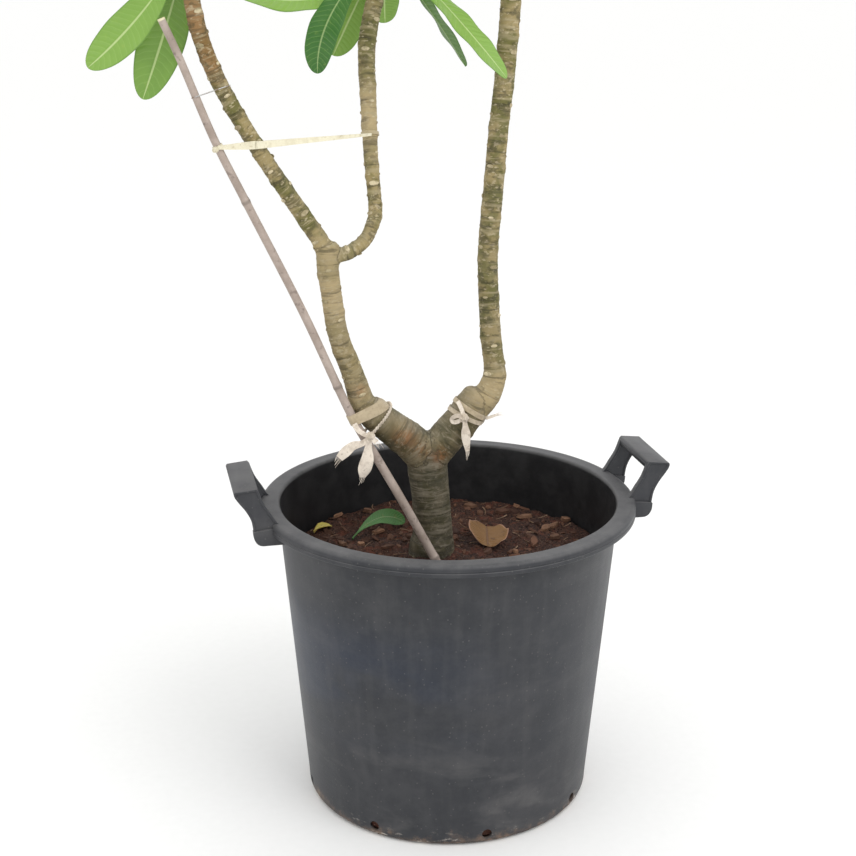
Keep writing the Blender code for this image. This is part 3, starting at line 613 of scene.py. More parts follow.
def barOutline():
    return [
        (0.2350, 0.4175), (0.2470, 0.4166), (0.2590, 0.4150), (0.2605, 0.4110),
        (0.2580, 0.4055), (0.2540, 0.4030), (0.2370, 0.4045), (0.2330, 0.4080),
        (0.2326, 0.4150),
    ]


def footOutline():
    return [
        (0.1968, 0.3488), (0.2290, 0.3486), (0.2354, 0.3510), (0.2392, 0.3572),
        (0.2400, 0.3630), (0.2396, 0.3662), (0.1968, 0.3662),
    ]


def softenOutline(points, straight=()):
    # closed smooth curve through the outline; the sides listed in straight stay straight
    result = []
    count = len(points)
    for k in range(count):
        before, start, end, after = (np.array(points[(k + j) % count]) for j in (-1, 0, 1, 2))
        chord = np.linalg.norm(end - start)
        leave, arrive = unit(end - before) * chord, unit(after - start) * chord
        steps = 1 if k in straight else 3
        for t in np.arange(steps) / steps:
            result.append(tuple((2 * t ** 3 - 3 * t * t + 1) * start + (t ** 3 - 2 * t * t + t) * leave
                                + (3 * t * t - 2 * t ** 3) * end + (t ** 3 - t * t) * arrive))
    return result


def insetOutline(points, distance):
    # the outline moved inwards by an even distance
    count = len(points)
    area = sum(points[k][0] * points[k - count + 1][1] - points[k - count + 1][0] * points[k][1]
               for k in range(count))
    result = []
    for k in range(count):
        before, here, after = (np.array(points[(k + j) % count]) for j in (-1, 0, 1))
        first, second = unit(here - before), unit(after - here)
        inwards = np.array(((-first[1], first[0]), (-second[1], second[0]))) * (1 if area > 0 else -1)
        middle = unit(inwards[0] + inwards[1])
        result.append(tuple(here + middle * distance / max(0.5, middle.dot(inwards[0]))))
    return result


def layeredPart(name, layers, direction, bevel):
    # a body skinned over outlines at rising y, with its edges rounded
    verts = [(direction * x, y, z) for outline, y in layers for x, z in outline]
    item = fixNormals(makeObject(name, verts, ringFaces(len(layers), len(layers[0][0]))))
    rounded = item.modifiers.new("rounded", "BEVEL")
    rounded.width = bevel
    rounded.segments = 2
    rounded.limit_method = "ANGLE"
    rounded.angle_limit = math.radians(38)
    return bakeModifiers(item)


def legPart(direction, near, far):
    # a plate with a raised edge round a sunk face on both sides
    corners = (8, 9, 10, 15, 16)
    coarse = handleOutline()
    outer = softenOutline(coarse, corners)
    inner = softenOutline(insetOutline(coarse, pot["legFlange"]), corners)
    deep = softenOutline(insetOutline(coarse, pot["legFlange"] + 0.0006), corners)
    sunk = pot["legRecess"]
    return layeredPart("leg", [(deep, near + sunk), (inner, near), (outer, near), (outer, far),
                               (inner, far), (deep, far - sunk)], direction, pot["legBevel"])


def uniteWith(item, parts):
    group = bpy.data.collections.new(item.name + "Parts")
    bpy.context.scene.collection.children.link(group)
    for part in parts:
        group.objects.link(part)
    union = item.modifiers.new("union", "BOOLEAN")
    union.operand_type = "COLLECTION"
    union.collection = group
    union.operation = "UNION"
    union.solver = "EXACT"
    bakeModifiers(item)
    for part in parts:
        bpy.data.objects.remove(part, do_unlink=True)
    bpy.data.collections.remove(group)
    return item


potMaterial = makePotMaterial()
outline = potProfile()
potBody = makeObject("potBody", [], [])
potBody.data.from_pydata([(x, 0, z) for x, z in outline],
                         [(k, k + 1) for k in range(len(outline) - 1)], [])
potBody = growNodes(potBody, makePotTree(), {
    "Sides": pot["sides"], "Hole Count": pot["drainHoles"], "Hole Radius": pot["drainRadius"],
    "Hole Height": pot["drainHeight"], "Hole Turn": math.radians(pot["drainTurn"]),
    "Foot Radius": pot["baseRadius"], "Material": potMaterial,
})
fixNormals(potBody)
handles = []
reach = pot["handleLength"] / 2
for direction in (1, -1):
    for near, far, proudNear, proudFar in (
        (-reach, pot["handleLeg"] - reach, pot["footProud"], 0.0004),
        (reach - pot["handleLeg"], reach, 0.0004, pot["footProud"]),
    ):
        handles.append(legPart(direction, near, far))
        foot = softenOutline(footOutline(), (0, 6))
        handles.append(layeredPart("foot", [(foot, near - proudNear), (foot, far + proudFar)],
                                   direction, pot["footBevel"]))
    bar = softenOutline(barOutline(), (0, 1))
    inset = pot["handleLeg"] * 0.4
    handles.append(layeredPart("bar", [(bar, inset - reach), (bar, reach - inset)], direction,
                               pot["barBevel"]))
uniteWith(potBody, handles)
potBody.data.materials.clear()
potBody.data.materials.append(potMaterial)
potBody.data.shade_smooth()
potBody.data.set_sharp_from_angle(angle=math.radians(32))
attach(potBody, "root")
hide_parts("pot")
print("pot:", len(potBody.data.polygons), "faces")


# soil

soil = {"level": 0.300, "relief": 0.0022, "sideGap": 0.0006, "cells": 176, "clod": 0.0042,
        "crumb": 0.0012, "edgeDrop": 0.004, "looseReach": 0.190, "trunkMiddle": (-0.019, 0.004),
        "trunkClear": 0.030, "lowestLoose": 0.28, "castFrom": 0.36, "chipLift": 0.0022,
        "chipThick": 0.0034, "shedGap": 0.0003, "seed": 7}


def soilHeight(x, y):
    # the same low mounds as the solid, with a hump round the trunk
    waves = ((61, 23, 0.4), (-37, 71, 1.9), (113, -52, 3.1), (29, -127, 0.8), (149, 97, 2.2))
    relief = sum(math.sin(a * x + b * y + c) for a, b, c in waves) / len(waves)
    hump = 0.003 * math.exp(-((x + 0.018) ** 2 + y ** 2) / 0.0040)
    return soil["level"] + 2.0 * soil["relief"] * relief + hump


def soilCrumbs(x, y):
    # clods and crumbs on the mounds
    spot = Vector((x, y, 0))
    clods = noise.noise(spot * 55) + 0.6 * noise.noise(spot * 120 + Vector((3, 7, 0)))
    crumbs = noise.noise(spot * 320) + 0.5 * noise.noise(spot * 640)
    return soil["clod"] * clods * 0.6 + soil["crumb"] * crumbs


def wallRadius(z):
    low, high = pot["baseCorner"], pot["height"] - 0.0045
    share = (z - low) / (high - low)
    return (pot["baseRadius"] - pot["wall"]) * (1 - share) + (pot["topRadius"] - pot["wall"]) * share


def soilMesh():
    # even cells over the disc, then the side and the underside
    count = soil["cells"]
    top = wallRadius(soil["level"] - soil["edgeDrop"]) - soil["sideGap"]
    verts, faces = [], []
    for i in range(count + 1):
        for j in range(count + 1):
            a, b = 2 * i / count - 1, 2 * j / count - 1
            if a == 0 and b == 0:
                x = y = 0.0
            elif abs(a) > abs(b):
                x, y = a * math.cos(math.pi / 4 * b / a), a * math.sin(math.pi / 4 * b / a)
            else:
                x, y = b * math.sin(math.pi / 4 * a / b), b * math.cos(math.pi / 4 * a / b)
            x, y = x * top, y * top
            edge = 1 - max(0.0, (math.hypot(x, y) / top - 0.97) / 0.03)
            z = soilHeight(x, y) + soilCrumbs(x, y) * edge - soil["edgeDrop"] * (1 - edge)
            verts.append((x, y, z))
    for i in range(count):
        for j in range(count):
            first = i * (count + 1) + j
            faces.append((first, first + count + 1, first + count + 2, first + 1))
    border = list(range(count + 1))
    border += [i * (count + 1) + count for i in range(1, count + 1)]
    border += [count * (count + 1) + j for j in reversed(range(count))]
    border += [i * (count + 1) for i in reversed(range(1, count))]
    previous = border
    for z in (pot["baseCorner"] + 0.001, pot["floor"] + 0.0003):
        radius = wallRadius(pot["baseCorner"] + 0.001) - soil["sideGap"]
        if z < pot["baseCorner"]:
            radius = pot["baseRadius"] - pot["wall"] - 0.006 - soil["sideGap"]
        ring = []
        for k in border:
            turn = math.atan2(verts[k][1], verts[k][0])
            ring.append(len(verts))
            verts.append((radius * math.cos(turn), radius * math.sin(turn), z))
        for k in range(len(border)):
            after = (k + 1) % len(border)
            faces.append((previous[k], previous[after], ring[after], ring[k]))
        previous = ring
    faces.append(tuple(previous))
    return verts, faces


def makeSoilMaterial():
    material, shader, spot = newMaterial("dampPottingSoil", {"Specular IOR Level": 0.25})
    dampAndShadow = softMask(spot, 14.0, 0.38, 0.66)
    crumbs = cellDistance(spot, 420.0)
    grain = grainOf(spot, 700.0, 260.0, 0.15)
    # dark blotches: partly damp soil, partly painted shadow between the clods, near black and purplish
    colour = blendColour(dampAndShadow, (0.0090, 0.0045, 0.0048), (0.042, 0.018, 0.012))
    colour = paint(colour, (0.075, 0.034, 0.022), remap(crumbs, 0.25, 0.65, 0.0, 0.7))
    red = softMask(spot, 60.0, 0.50, 0.62)
    colour = paint(colour, (0.110, 0.032, 0.018), red, 0.50)
    colour = paint(colour, (0.30, 0.22, 0.16), grain["Flecks"], 0.5)
    roughness = remap(dampAndShadow, 0.0, 1.0, 0.72, 0.95)
    height = calc("ADD", crumbs, grain["Height"])
    finishMaterial(shader, colour, roughness, height, 0.8, 0.0012)
    return material


def makeChipMaterial(name, dark, pale):
    # broken bark and wood bits; a tone is stored on each bit
    material, shader, spot = newMaterial(name, {"Specular IOR Level": 0.3})
    tone = readAttribute("bitTone")
    fibre = noiseValue(stretched(spot, (160, 620, 620)), 1.0, 3.0)
    grain = grainOf(spot, 800.0, 300.0, 0.10)
    soiled = softMask(spot, 90.0, 0.42, 0.62)
    colour = blendColour(tone, dark, pale)
    colour = paint(colour, dark, fibre, 0.5)
    colour = paint(colour, (0.035, 0.017, 0.011), soiled, 0.45)
    roughness = remap(fibre, 0.2, 0.8, 0.65, 0.95)
    finishMaterial(shader, colour, roughness, calc("ADD", fibre, grain["Height"]), 0.6, 0.0006)
    return material


def makeScatterTree(name):
    # spreads small shapes over the faces of a ground that look up
    tree, given, result = newTree(
        name, "GeometryNodeTree",
        [("Geometry", "Geometry", None), ("Shapes", "Collection", None), ("Gap", "Float", 0.004),
         ("Density", "Float", 40000.0), ("Smallest", "Float", 0.5), ("Largest", "Float", 1.3),
         ("Tilt", "Float", 0.4), ("Sink", "Float", 0.0), ("Seed", "Int", 1),
         ("Material", "Material", None)],
        [("Geometry", "Geometry")],
    )
    spread = addNode("GeometryNodeDistributePointsOnFaces", {
        "Mesh": given["Geometry"], "Distance Min": given["Gap"], "Density Max": given["Density"],
        "Seed": given["Seed"],
    }, distribute_method="POISSON")
    size = randomBetween(given["Smallest"], given["Largest"], given["Seed"])
    spin = randomBetween(0.0, 2 * math.pi, calc("ADD", given["Seed"], 1.0))
    lean = randomBetween(times(given["Tilt"], -1.0), given["Tilt"], calc("ADD", given["Seed"], 2.0))
    turn = addNode("FunctionNodeEulerToRotation", {0: vectorOf(lean, 0.0, spin)}).outputs[0]
    aim = addNode("FunctionNodeRotateRotation", {
        0: spread.outputs["Rotation"], 1: turn,
    }, rotation_space="LOCAL").outputs[0]
    shapes = addNode("GeometryNodeCollectionInfo", {
        "Collection": given["Shapes"], "Separate Children": True, "Reset Children": True,
    }).outputs[0]
    tone = randomBetween(0.0, 1.0, calc("ADD", given["Seed"], 3.0))
    laid = addNode("GeometryNodeInstanceOnPoints", {
        "Points": spread.outputs["Points"], "Instance": shapes, "Pick Instance": True,
        "Rotation": aim, "Scale": size,
    }).outputs[0]
    drop = vectorOf(z=times(given["Sink"], -1.0))
    whole = realized(stored(laid, "bitTone", tone, domain="INSTANCE"))
    whole = addNode("GeometryNodeSetPosition", {"Geometry": whole, "Offset": drop}).outputs[0]
    finishShape(whole, given, result)
    return tree


def hiddenShapes(name, makers):
    # a collection of small shapes that a scatter picks from
    group = bpy.data.collections.new(name)
    for k, (verts, faces) in enumerate(makers):
        mesh = bpy.data.meshes.new(f"{name}{k}")
        mesh.from_pydata(verts, [], faces)
        mesh.update()
        group.objects.link(bpy.data.objects.new(f"{name}{k}", mesh))
    return group


def pebbleShape(rng, radius):
    bm = bmesh.new()
    bmesh.ops.create_icosphere(bm, subdivisions=1, radius=radius)
    for vert in bm.verts:
        vert.co *= rng.uniform(0.7, 1.25)
        vert.co.z *= 0.7
    verts = [tuple(vert.co) for vert in bm.verts]
    faces = [[vert.index for vert in face.verts] for face in bm.faces]
    bm.free()
    return verts, faces


def chipShape(rng, length, width, thick):
    # an angular flake, thinner at its ends
    corners = 7
    low, high = [], []
    for k in range(corners):
        turn = 2 * math.pi * k / corners + rng.uniform(-0.25, 0.25)
        x = length / 2 * math.cos(turn) * rng.uniform(0.75, 1.1)
        y = width / 2 * math.sin(turn) * rng.uniform(0.7, 1.15)
        bow = 0.12 * x * x / length
        low.append((x, y, bow - thick * 0.4))
        high.append((x * 0.86, y * 0.82, bow + thick * rng.uniform(0.4, 0.9)))
    verts = low + high + [(0, 0, thick * 0.75)]
    faces = [tuple(reversed(range(corners)))]
    for k in range(corners):
        after = (k + 1) % corners
        faces.append((k, after, corners + after, corners + k))
        faces.append((corners + k, corners + after, 2 * corners))
    return verts, faces


def twigShape(length, radius):
    verts = []
    for k in range(5):
        t = k / 4
        bow = math.sin(math.pi * t) * length * 0.10
        size = radius * (1.0 - 0.5 * t)
        for j in range(5):
            turn = 2 * math.pi * j / 5
            verts.append(((t - 0.5) * length, bow + size * math.cos(turn), size * math.sin(turn)))
    return verts, ringFaces(5, 5)


soilMaterial = makeSoilMaterial()
soilBody = makeObject("soilSurface", *soilMesh(), soilMaterial)
fixNormals(soilBody)
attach(soilBody, "root")
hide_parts("soil")

# only the open top carries loose bits
rng = random.Random(soil["seed"])
groundVerts = [vert.co.copy() for vert in soilBody.data.vertices]
openFaces = []
for face in soilBody.data.polygons:
    centre = face.center
    clearWall = math.hypot(centre.x, centre.y) < soil["looseReach"]
    clearTrunk = math.dist(centre[:2], soil["trunkMiddle"]) > soil["trunkClear"]
    if centre.z > soil["lowestLoose"] and face.normal.z > 0.3 and clearWall and clearTrunk:
        openFaces.append(tuple(face.vertices))
scatterTree = makeScatterTree("scatteredBits")
chipMaterial = makeChipMaterial("barkChip", (0.035, 0.014, 0.010), (0.340, 0.185, 0.110))
mulchMaterial = makeChipMaterial("darkMulch", (0.026, 0.010, 0.007), (0.180, 0.085, 0.050))
layers = [
    ("soilGrains", hiddenShapes("grain", [pebbleShape(rng, 0.0016) for _ in range(6)]),
     {"Gap": 0.0040, "Density": 60000.0, "Smallest": 0.5, "Largest": 1.35, "Tilt": 0.8,
      "Sink": 0.0003, "Seed": 11},
     makeChipMaterial("soilGrain", (0.014, 0.007, 0.006), (0.095, 0.043, 0.028))),
    ("barkMulch", hiddenShapes("chip", [chipShape(rng, rng.uniform(0.010, 0.022),
                                                  rng.uniform(0.005, 0.011), 0.0022) for _ in range(8)]),
     {"Gap": 0.0145, "Density": 7500.0, "Smallest": 0.45, "Largest": 1.30, "Tilt": 0.60,
      "Sink": -0.0004, "Seed": 23},
     mulchMaterial),
    ("woodBits", hiddenShapes("twig", [twigShape(rng.uniform(0.010, 0.022), 0.0007) for _ in range(4)]),
     {"Gap": 0.021, "Density": 5000.0, "Smallest": 0.6, "Largest": 1.3, "Tilt": 0.15,
      "Sink": -0.0009, "Seed": 31},
     makeChipMaterial("dryTwig", (0.120, 0.060, 0.035), (0.420, 0.290, 0.190))),
]
for name, shapes, values, material in layers:
    layer = makeObject(name, groundVerts, openFaces)
    growNodes(layer, scatterTree, {**values, "Shapes": shapes, "Material": material})
    fixNormals(layer)
    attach(layer, "root")
    print(name + ":", len(layer.data.polygons), "faces")
ground = surfaceTree(soilBody)


def castDown(x, y):
    # where the soil lies below a place, and which way it faces there
    return ground.ray_cast(Vector((x, y, soil["castFrom"])), Vector((0, 0, -1)))[:2]



# larger pieces that stand out: x, y, length, width, turn and tone
strewn = [
    (0.138, 0.050, 0.026, 0.012, 0.2, 0.80), (0.152, 0.060, 0.017, 0.008, 1.1, 0.60),
    (0.172, 0.074, 0.014, 0.009, -0.4, 1.15), (0.124, 0.140, 0.012, 0.007, 0.9, 1.30),
    (0.125, 0.102, 0.022, 0.011, 0.3, 0.75), (-0.112, 0.148, 0.015, 0.006, 1.4, 1.30),
    (-0.070, 0.160, 0.020, 0.010, 0.1, 0.55), (-0.072, 0.081, 0.021, 0.009, 0.4, 1.00),
    (-0.099, 0.046, 0.011, 0.008, 0.0, 1.50), (-0.122, 0.050, 0.016, 0.009, -0.2, 0.65),
    (0.082, -0.012, 0.010, 0.007, 0.6, 1.20), (0.064, 0.148, 0.019, 0.009, -0.3, 0.50),
    (0.142, 0.020, 0.018, 0.010, 0.8, 0.45), (-0.040, 0.140, 0.022, 0.011, -0.6, 0.45),
    (-0.145, 0.020, 0.018, 0.010, 0.5, 0.50), (0.020, -0.120, 0.022, 0.010, 0.9, 0.70),
    (-0.080, -0.080, 0.020, 0.009, -0.7, 0.55), (0.100, -0.095, 0.024, 0.011, 0.3, 0.60),
]
verts, faces, tones = [], [], []
for x, y, length, width, turn, tone in strewn:
    spot, up = castDown(x, y)
    lean = (up + Vector((rng.uniform(-0.2, 0.2), rng.uniform(-0.4, 0.1), 1.2))).normalized()
    aim = lean.to_track_quat("Z", "Y") @ Euler((0, 0, turn)).to_quaternion()
    shape, shapeFaces = chipShape(rng, length, width, soil["chipThick"])
    faces += [tuple(len(verts) + k for k in face) for face in shapeFaces]
    verts += [tuple(spot + lean * soil["chipLift"] + aim @ Vector(point)) for point in shape]
    tones += [tone] * len(shape)
strewnChips = fixNormals(makeObject("strewnChips", verts, faces, chipMaterial, smooth=False))
addField(strewnChips, "bitTone", tones)
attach(strewnChips, "root")


# trunk and branches

wood = {"voxel": 0.0019, "sides": 26, "spacing": 0.0030, "scarPitch": 0.0115, "scarHeight": 0.0010,
        "ringHeight": 0.00050, "scarSize": 0.0052, "scarRise": 0.0008, "knobAlong": 0.0045,
        "knobAround": 0.0062, "lineStep": 0.004, "limbShift": 0.31}

limbs = {
    "foot": [(-0.020, 0.004, 0.190, 0.0180), (-0.020, 0.004, 0.245, 0.0250),
             (-0.019, 0.004, 0.285, 0.0292), (-0.019, 0.004, 0.316, 0.0268)],
    "trunk": [(-0.019, 0.004, 0.300, 0.0285), (-0.018, 0.004, 0.318, 0.0255),
              (-0.018, 0.004, 0.340, 0.0233), (-0.021, 0.005, 0.381, 0.0231),
              (-0.024, 0.005, 0.410, 0.0240), (-0.025, 0.005, 0.432, 0.0240)],
    "leftLimb": [(-0.024, 0.004, 0.420, 0.0225), (-0.045, 0.005, 0.444, 0.0222),
                 (-0.066, 0.006, 0.461, 0.0206), (-0.086, 0.006, 0.478, 0.0192),
                 (-0.095, 0.006, 0.486, 0.0175)],
    "leftBranch": [(-0.080, 0.006, 0.470, 0.0130), (-0.100, 0.007, 0.493, 0.0145),
                   (-0.114, 0.004, 0.534, 0.0128), (-0.130, 0.001, 0.580, 0.0120),
                   (-0.137, -0.002, 0.626, 0.0120), (-0.141, -0.003, 0.660, 0.0125),
                   (-0.141, -0.003, 0.682, 0.0128)],
    "leftSpray": [(-0.140, -0.003, 0.672, 0.0100), (-0.150, -0.003, 0.692, 0.0100),
                  (-0.176, -0.004, 0.732, 0.0094), (-0.213, -0.004, 0.790, 0.0090),
                  (-0.248, -0.003, 0.852, 0.0090), (-0.266, -0.003, 0.893, 0.0091),
                  (-0.277, -0.003, 0.932, 0.0091), (-0.283, -0.002, 0.975, 0.0090)],
    "middleSpray": [(-0.141, -0.003, 0.670, 0.0080), (-0.130, -0.003, 0.672, 0.0084),
                    (-0.113, -0.001, 0.677, 0.0080), (-0.098, 0.005, 0.686, 0.0079),
                    (-0.088, 0.011, 0.700, 0.0079), (-0.082, 0.018, 0.717, 0.0080),
                    (-0.082, 0.026, 0.740, 0.0080), (-0.083, 0.039, 0.781, 0.0085),
                    (-0.082, 0.056, 0.836, 0.0094), (-0.081, 0.070, 0.892, 0.0100),
                    (-0.073, 0.078, 0.933, 0.0101), (-0.063, 0.083, 0.972, 0.0098)],
    "rightLimb": [(-0.025, 0.004, 0.420, 0.0215), (0.001, 0.004, 0.449, 0.0215),
                  (0.018, 0.004, 0.467, 0.0212), (0.028, 0.004, 0.483, 0.0205),
                  (0.034, 0.004, 0.495, 0.0170)],
    "rightBranch": [(0.030, 0.004, 0.472, 0.0145), (0.047, 0.004, 0.494, 0.0160),
                    (0.056, 0.004, 0.514, 0.0142), (0.057, 0.006, 0.532, 0.0128),
                    (0.053, 0.009, 0.569, 0.0124), (0.050, 0.014, 0.638, 0.0120),
                    (0.051, 0.016, 0.682, 0.0119), (0.055, 0.017, 0.726, 0.0119),
                    (0.062, 0.019, 0.808, 0.0115), (0.069, 0.022, 0.865, 0.0116),
                    (0.074, 0.025, 0.921, 0.0117), (0.076, 0.027, 0.948, 0.0117),
                    (0.081, 0.030, 1.033, 0.0110), (0.086, 0.033, 1.112, 0.0104)],
}
openEnded = ("leftSpray", "middleSpray", "rightBranch")


def tubeRings(rows, sides, spacing, rounded=False):
    path = evenCurve(rows, spacing)
    frames = pathFrames(path[:, :3])
    turns = 2 * math.pi * np.arange(sides) / sides
    rings = []
    for point, (tangent, side, up) in zip(path, frames):
        circle = np.outer(np.cos(turns), side) + np.outer(np.sin(turns), up)
        rings.append(point[:3] + point[3] * circle)
    if rounded:
        centre, tangent, radius = path[-1, :3], frames[-1][0], path[-1, 3]
        for share, rise in ((0.93, 0.20), (0.76, 0.42), (0.45, 0.58)):
            rings.append(centre + (rings[len(path) - 1] - centre) * share + tangent * radius * rise)
    return rings


def limbTubes():
    verts, faces = [], []
    for name, rows in limbs.items():
        rings = tubeRings(rows, wood["sides"], wood["spacing"], name not in openEnded)
        faces += ringFaces(len(rings), wood["sides"], len(verts))
        for ring in rings:
            verts += [tuple(point) for point in ring]
    return verts, faces


def limbPlaces(points):
    # for each point: which limb, how far along it, the turn round it and its radius there
    best = np.full(len(points), 1e9)
    along = np.zeros(len(points))
    turn = np.zeros(len(points))
    radius = np.ones(len(points))
    limb = np.zeros(len(points), int)
    for number, rows in enumerate(limbs.values()):
        path = evenCurve(rows, wood["lineStep"])
        frames = pathFrames(path[:, :3])
        axes = np.array(frames)
        lengths = np.concatenate([[0], np.cumsum(np.linalg.norm(np.diff(path[:, :3], axis=0), axis=1))])
        for start in range(0, len(points), 8000):
            block = points[start:start + 8000]
            away = block[:, None, :] - path[None, :, :3]
            distance = np.linalg.norm(away, axis=2)
            nearest = distance.argmin(1)
            picked = np.arange(len(block))
            offset = away[picked, nearest]
            score = np.abs(distance[picked, nearest] - path[nearest, 3]) / path[nearest, 3]
            tangent, side, up = (axes[nearest, k] for k in range(3))
            better = score < best[start:start + 8000]
            chosen = np.arange(start, start + len(block))[better]
            best[chosen] = score[better]
            slide = (offset * tangent).sum(1)
            along[chosen] = (lengths[nearest] + slide)[better]
            turn[chosen] = np.arctan2((offset * up).sum(1), (offset * side).sum(1))[better]
            radius[chosen] = path[nearest, 3][better]
            limb[chosen] = number
    return limb, along, turn, radius


def makeBarkMaterial():
    material, shader, spot = newMaterial("wrinkledBark", {"Specular IOR Level": 0.35})
    straight = readAttribute("barkPlace", "Vector")
    age = readAttribute("barkAge")
    rust = readAttribute("rustPatch")
    tan = readAttribute("tanPatch")
    rings = noiseValue(stretched(straight, (18, 18, 165)), 1.0, 3.0, 0.6, 0.5)
    fine = noiseValue(stretched(straight, (60, 60, 520)), 1.0, 3.0, 0.6, 0.3)
    broad = softMask(spot, 28.0, 0.40, 0.60)
    dark = softMask(stretched(straight, (1, 1, 1.5)), 70.0, 0.49, 0.60)
    pale = softMask(stretched(straight, (1, 1, 1.8)), 115.0, 0.56, 0.64)
    grain = grainOf(straight, 520.0, 190.0, 0.17)
    lenticels = remap(cellDistance(stretched(straight, (1, 1, 2.0)), 85.0), 0.20, 0.10)
    lenticels = times(lenticels, times(age, 0.6))
    dust = dustMask(spot, 60.0, 0.18, 0.08)
    old = blendColour(broad, (0.052, 0.046, 0.028), (0.105, 0.088, 0.056))
    young = blendColour(broad, (0.135, 0.125, 0.034), (0.300, 0.235, 0.105))
    colour = blendColour(age, old, young)
    colour = paint(colour, (0.250, 0.105, 0.036), rust, 0.85)
    colour = paint(colour, (0.052, 0.046, 0.016), dark, 0.62)
    colour = paint(colour, (0.470, 0.365, 0.205), tan, 0.78)
    paleTone = blendColour(age, (0.170, 0.145, 0.105), (0.500, 0.415, 0.270))
    colour = paint(colour, paleTone, pale, 0.55)
    ridge = blendColour(age, (0.190, 0.165, 0.120), (0.360, 0.300, 0.170))
    colour = paint(colour, ridge, remap(rings, 0.52, 0.66, 0.0, 0.60))
    colour = paint(colour, (0.030, 0.028, 0.014), remap(rings, 0.46, 0.34, 0.0, 0.55))
    colour = paint(colour, (0.520, 0.450, 0.290), lenticels)
    colour = paint(colour, (0.420, 0.370, 0.260), grain["Flecks"], 0.15)
    colour = paint(colour, (0.400, 0.360, 0.290), dust)
    roughness = remap(rings, 0.3, 0.7, 0.88, 0.68)
    height = calc("MULTIPLY_ADD", rings, 1.8, times(fine, 0.6))
    height = calc("MULTIPLY_ADD", grain["Height"], 0.35, height)
    finishMaterial(shader, colour, roughness, height, 0.8, 0.0013)
    return material


def makeScarMaterial():
    material, shader, spot = newMaterial("leafScar", {"Specular IOR Level": 0.3})
    tone = readAttribute("bitTone")
    grain = grainOf(spot, 900.0, 500.0, 0.2)
    patches = softMask(spot, 180.0, 0.4, 0.6)
    colour = blendColour(tone, (0.300, 0.250, 0.140), (0.620, 0.530, 0.350))
    colour = paint(colour, (0.190, 0.150, 0.075), patches, 0.5)
    colour = paint(colour, (0.070, 0.055, 0.025), grain["Flecks"], 0.4)
    finishMaterial(shader, colour, remap(patches, 0, 1, 0.7, 0.9), grain["Height"], 0.5, 0.0005)
    return material


def makeScarTree():
    # leaf scars in a spiral up every stem, laid on the bark
    tree, given, result = newTree(
        "spiralScars", "GeometryNodeTree",
        [("Geometry", "Geometry", None), ("Bark", "Object", None), ("Pitch", "Float", 0.012),
         ("Turn", "Float", goldenAngle), ("Reach", "Float", 0.035), ("Width", "Float", 0.004),
         ("Rise", "Float", 0.0008), ("Seed", "Int", 5), ("Material", "Material", None)],
        [("Geometry", "Geometry")],
    )
    curve = addNode("GeometryNodeMeshToCurve", {0: given["Geometry"]}).outputs[0]
    points = addNode("GeometryNodeCurveToPoints", {"Curve": curve, "Length": given["Pitch"]},
                     mode="LENGTH")
    order = addNode("GeometryNodeInputIndex").outputs[0]
    angle = times(order, given["Turn"])
    outward = addNode("ShaderNodeVectorRotate", {
        "Vector": points.outputs["Normal"], "Axis": points.outputs["Tangent"], "Angle": angle,
    }).outputs[0]
    bark = addNode("GeometryNodeObjectInfo", {0: given["Bark"]}, transform_space="RELATIVE")
    ray = addNode("GeometryNodeRaycast", {
        "Target Geometry": bark.outputs["Geometry"], "Ray Direction": outward,
        "Ray Length": given["Reach"],
        "Source Position": addNode("GeometryNodeInputPosition").outputs[0],
    })
    near = calc("LESS_THAN", ray.outputs["Hit Distance"], times(readField("stemRadius"), 1.25))
    shown = times(near, ray.outputs["Is Hit"])
    upright = addNode("FunctionNodeAlignRotationToVector", {"Vector": points.outputs["Tangent"]}, axis="Y")
    aim = addNode("FunctionNodeAlignRotationToVector", {
        "Rotation": upright.outputs[0], "Vector": outward,
    }, axis="Z", pivot_axis="Y").outputs[0]
    # the rotation and the ray are worked out before the points move
    kept = points.outputs["Points"]
    read = {}
    for label, kind, value in (("scarAim", "QUATERNION", aim), ("scarShown", "FLOAT", shown),
                               ("scarPlace", "FLOAT_VECTOR", ray.outputs["Hit Position"])):
        kept = stored(kept, label, value, kind)
        read[label] = readField(label, kind)
    kept = addNode("GeometryNodeSetPosition", {"Geometry": kept, "Position": read["scarPlace"]}).outputs[0]
    pad = addNode("GeometryNodeMeshIcoSphere", {"Radius": 1.0, "Subdivisions": 2}).outputs[0]
    oval = vectorOf(given["Width"], times(given["Width"], 0.50), given["Rise"])
    pad = addNode("GeometryNodeTransform", {"Geometry": pad, "Scale": oval}).outputs[0]
    size = randomBetween(0.6, 1.15, given["Seed"])
    tone = randomBetween(0.0, 1.0, 3)
    pads = addNode("GeometryNodeInstanceOnPoints", {
        "Points": kept, "Selection": read["scarShown"], "Instance": pad, "Rotation": read["scarAim"],
        "Scale": size,
    }).outputs[0]
    whole = realized(stored(pads, "bitTone", tone, domain="INSTANCE"))
    whole = addNode("GeometryNodeSetShadeSmooth", {"Geometry": whole}).outputs[0]
    finishShape(whole, given, result)
    return tree


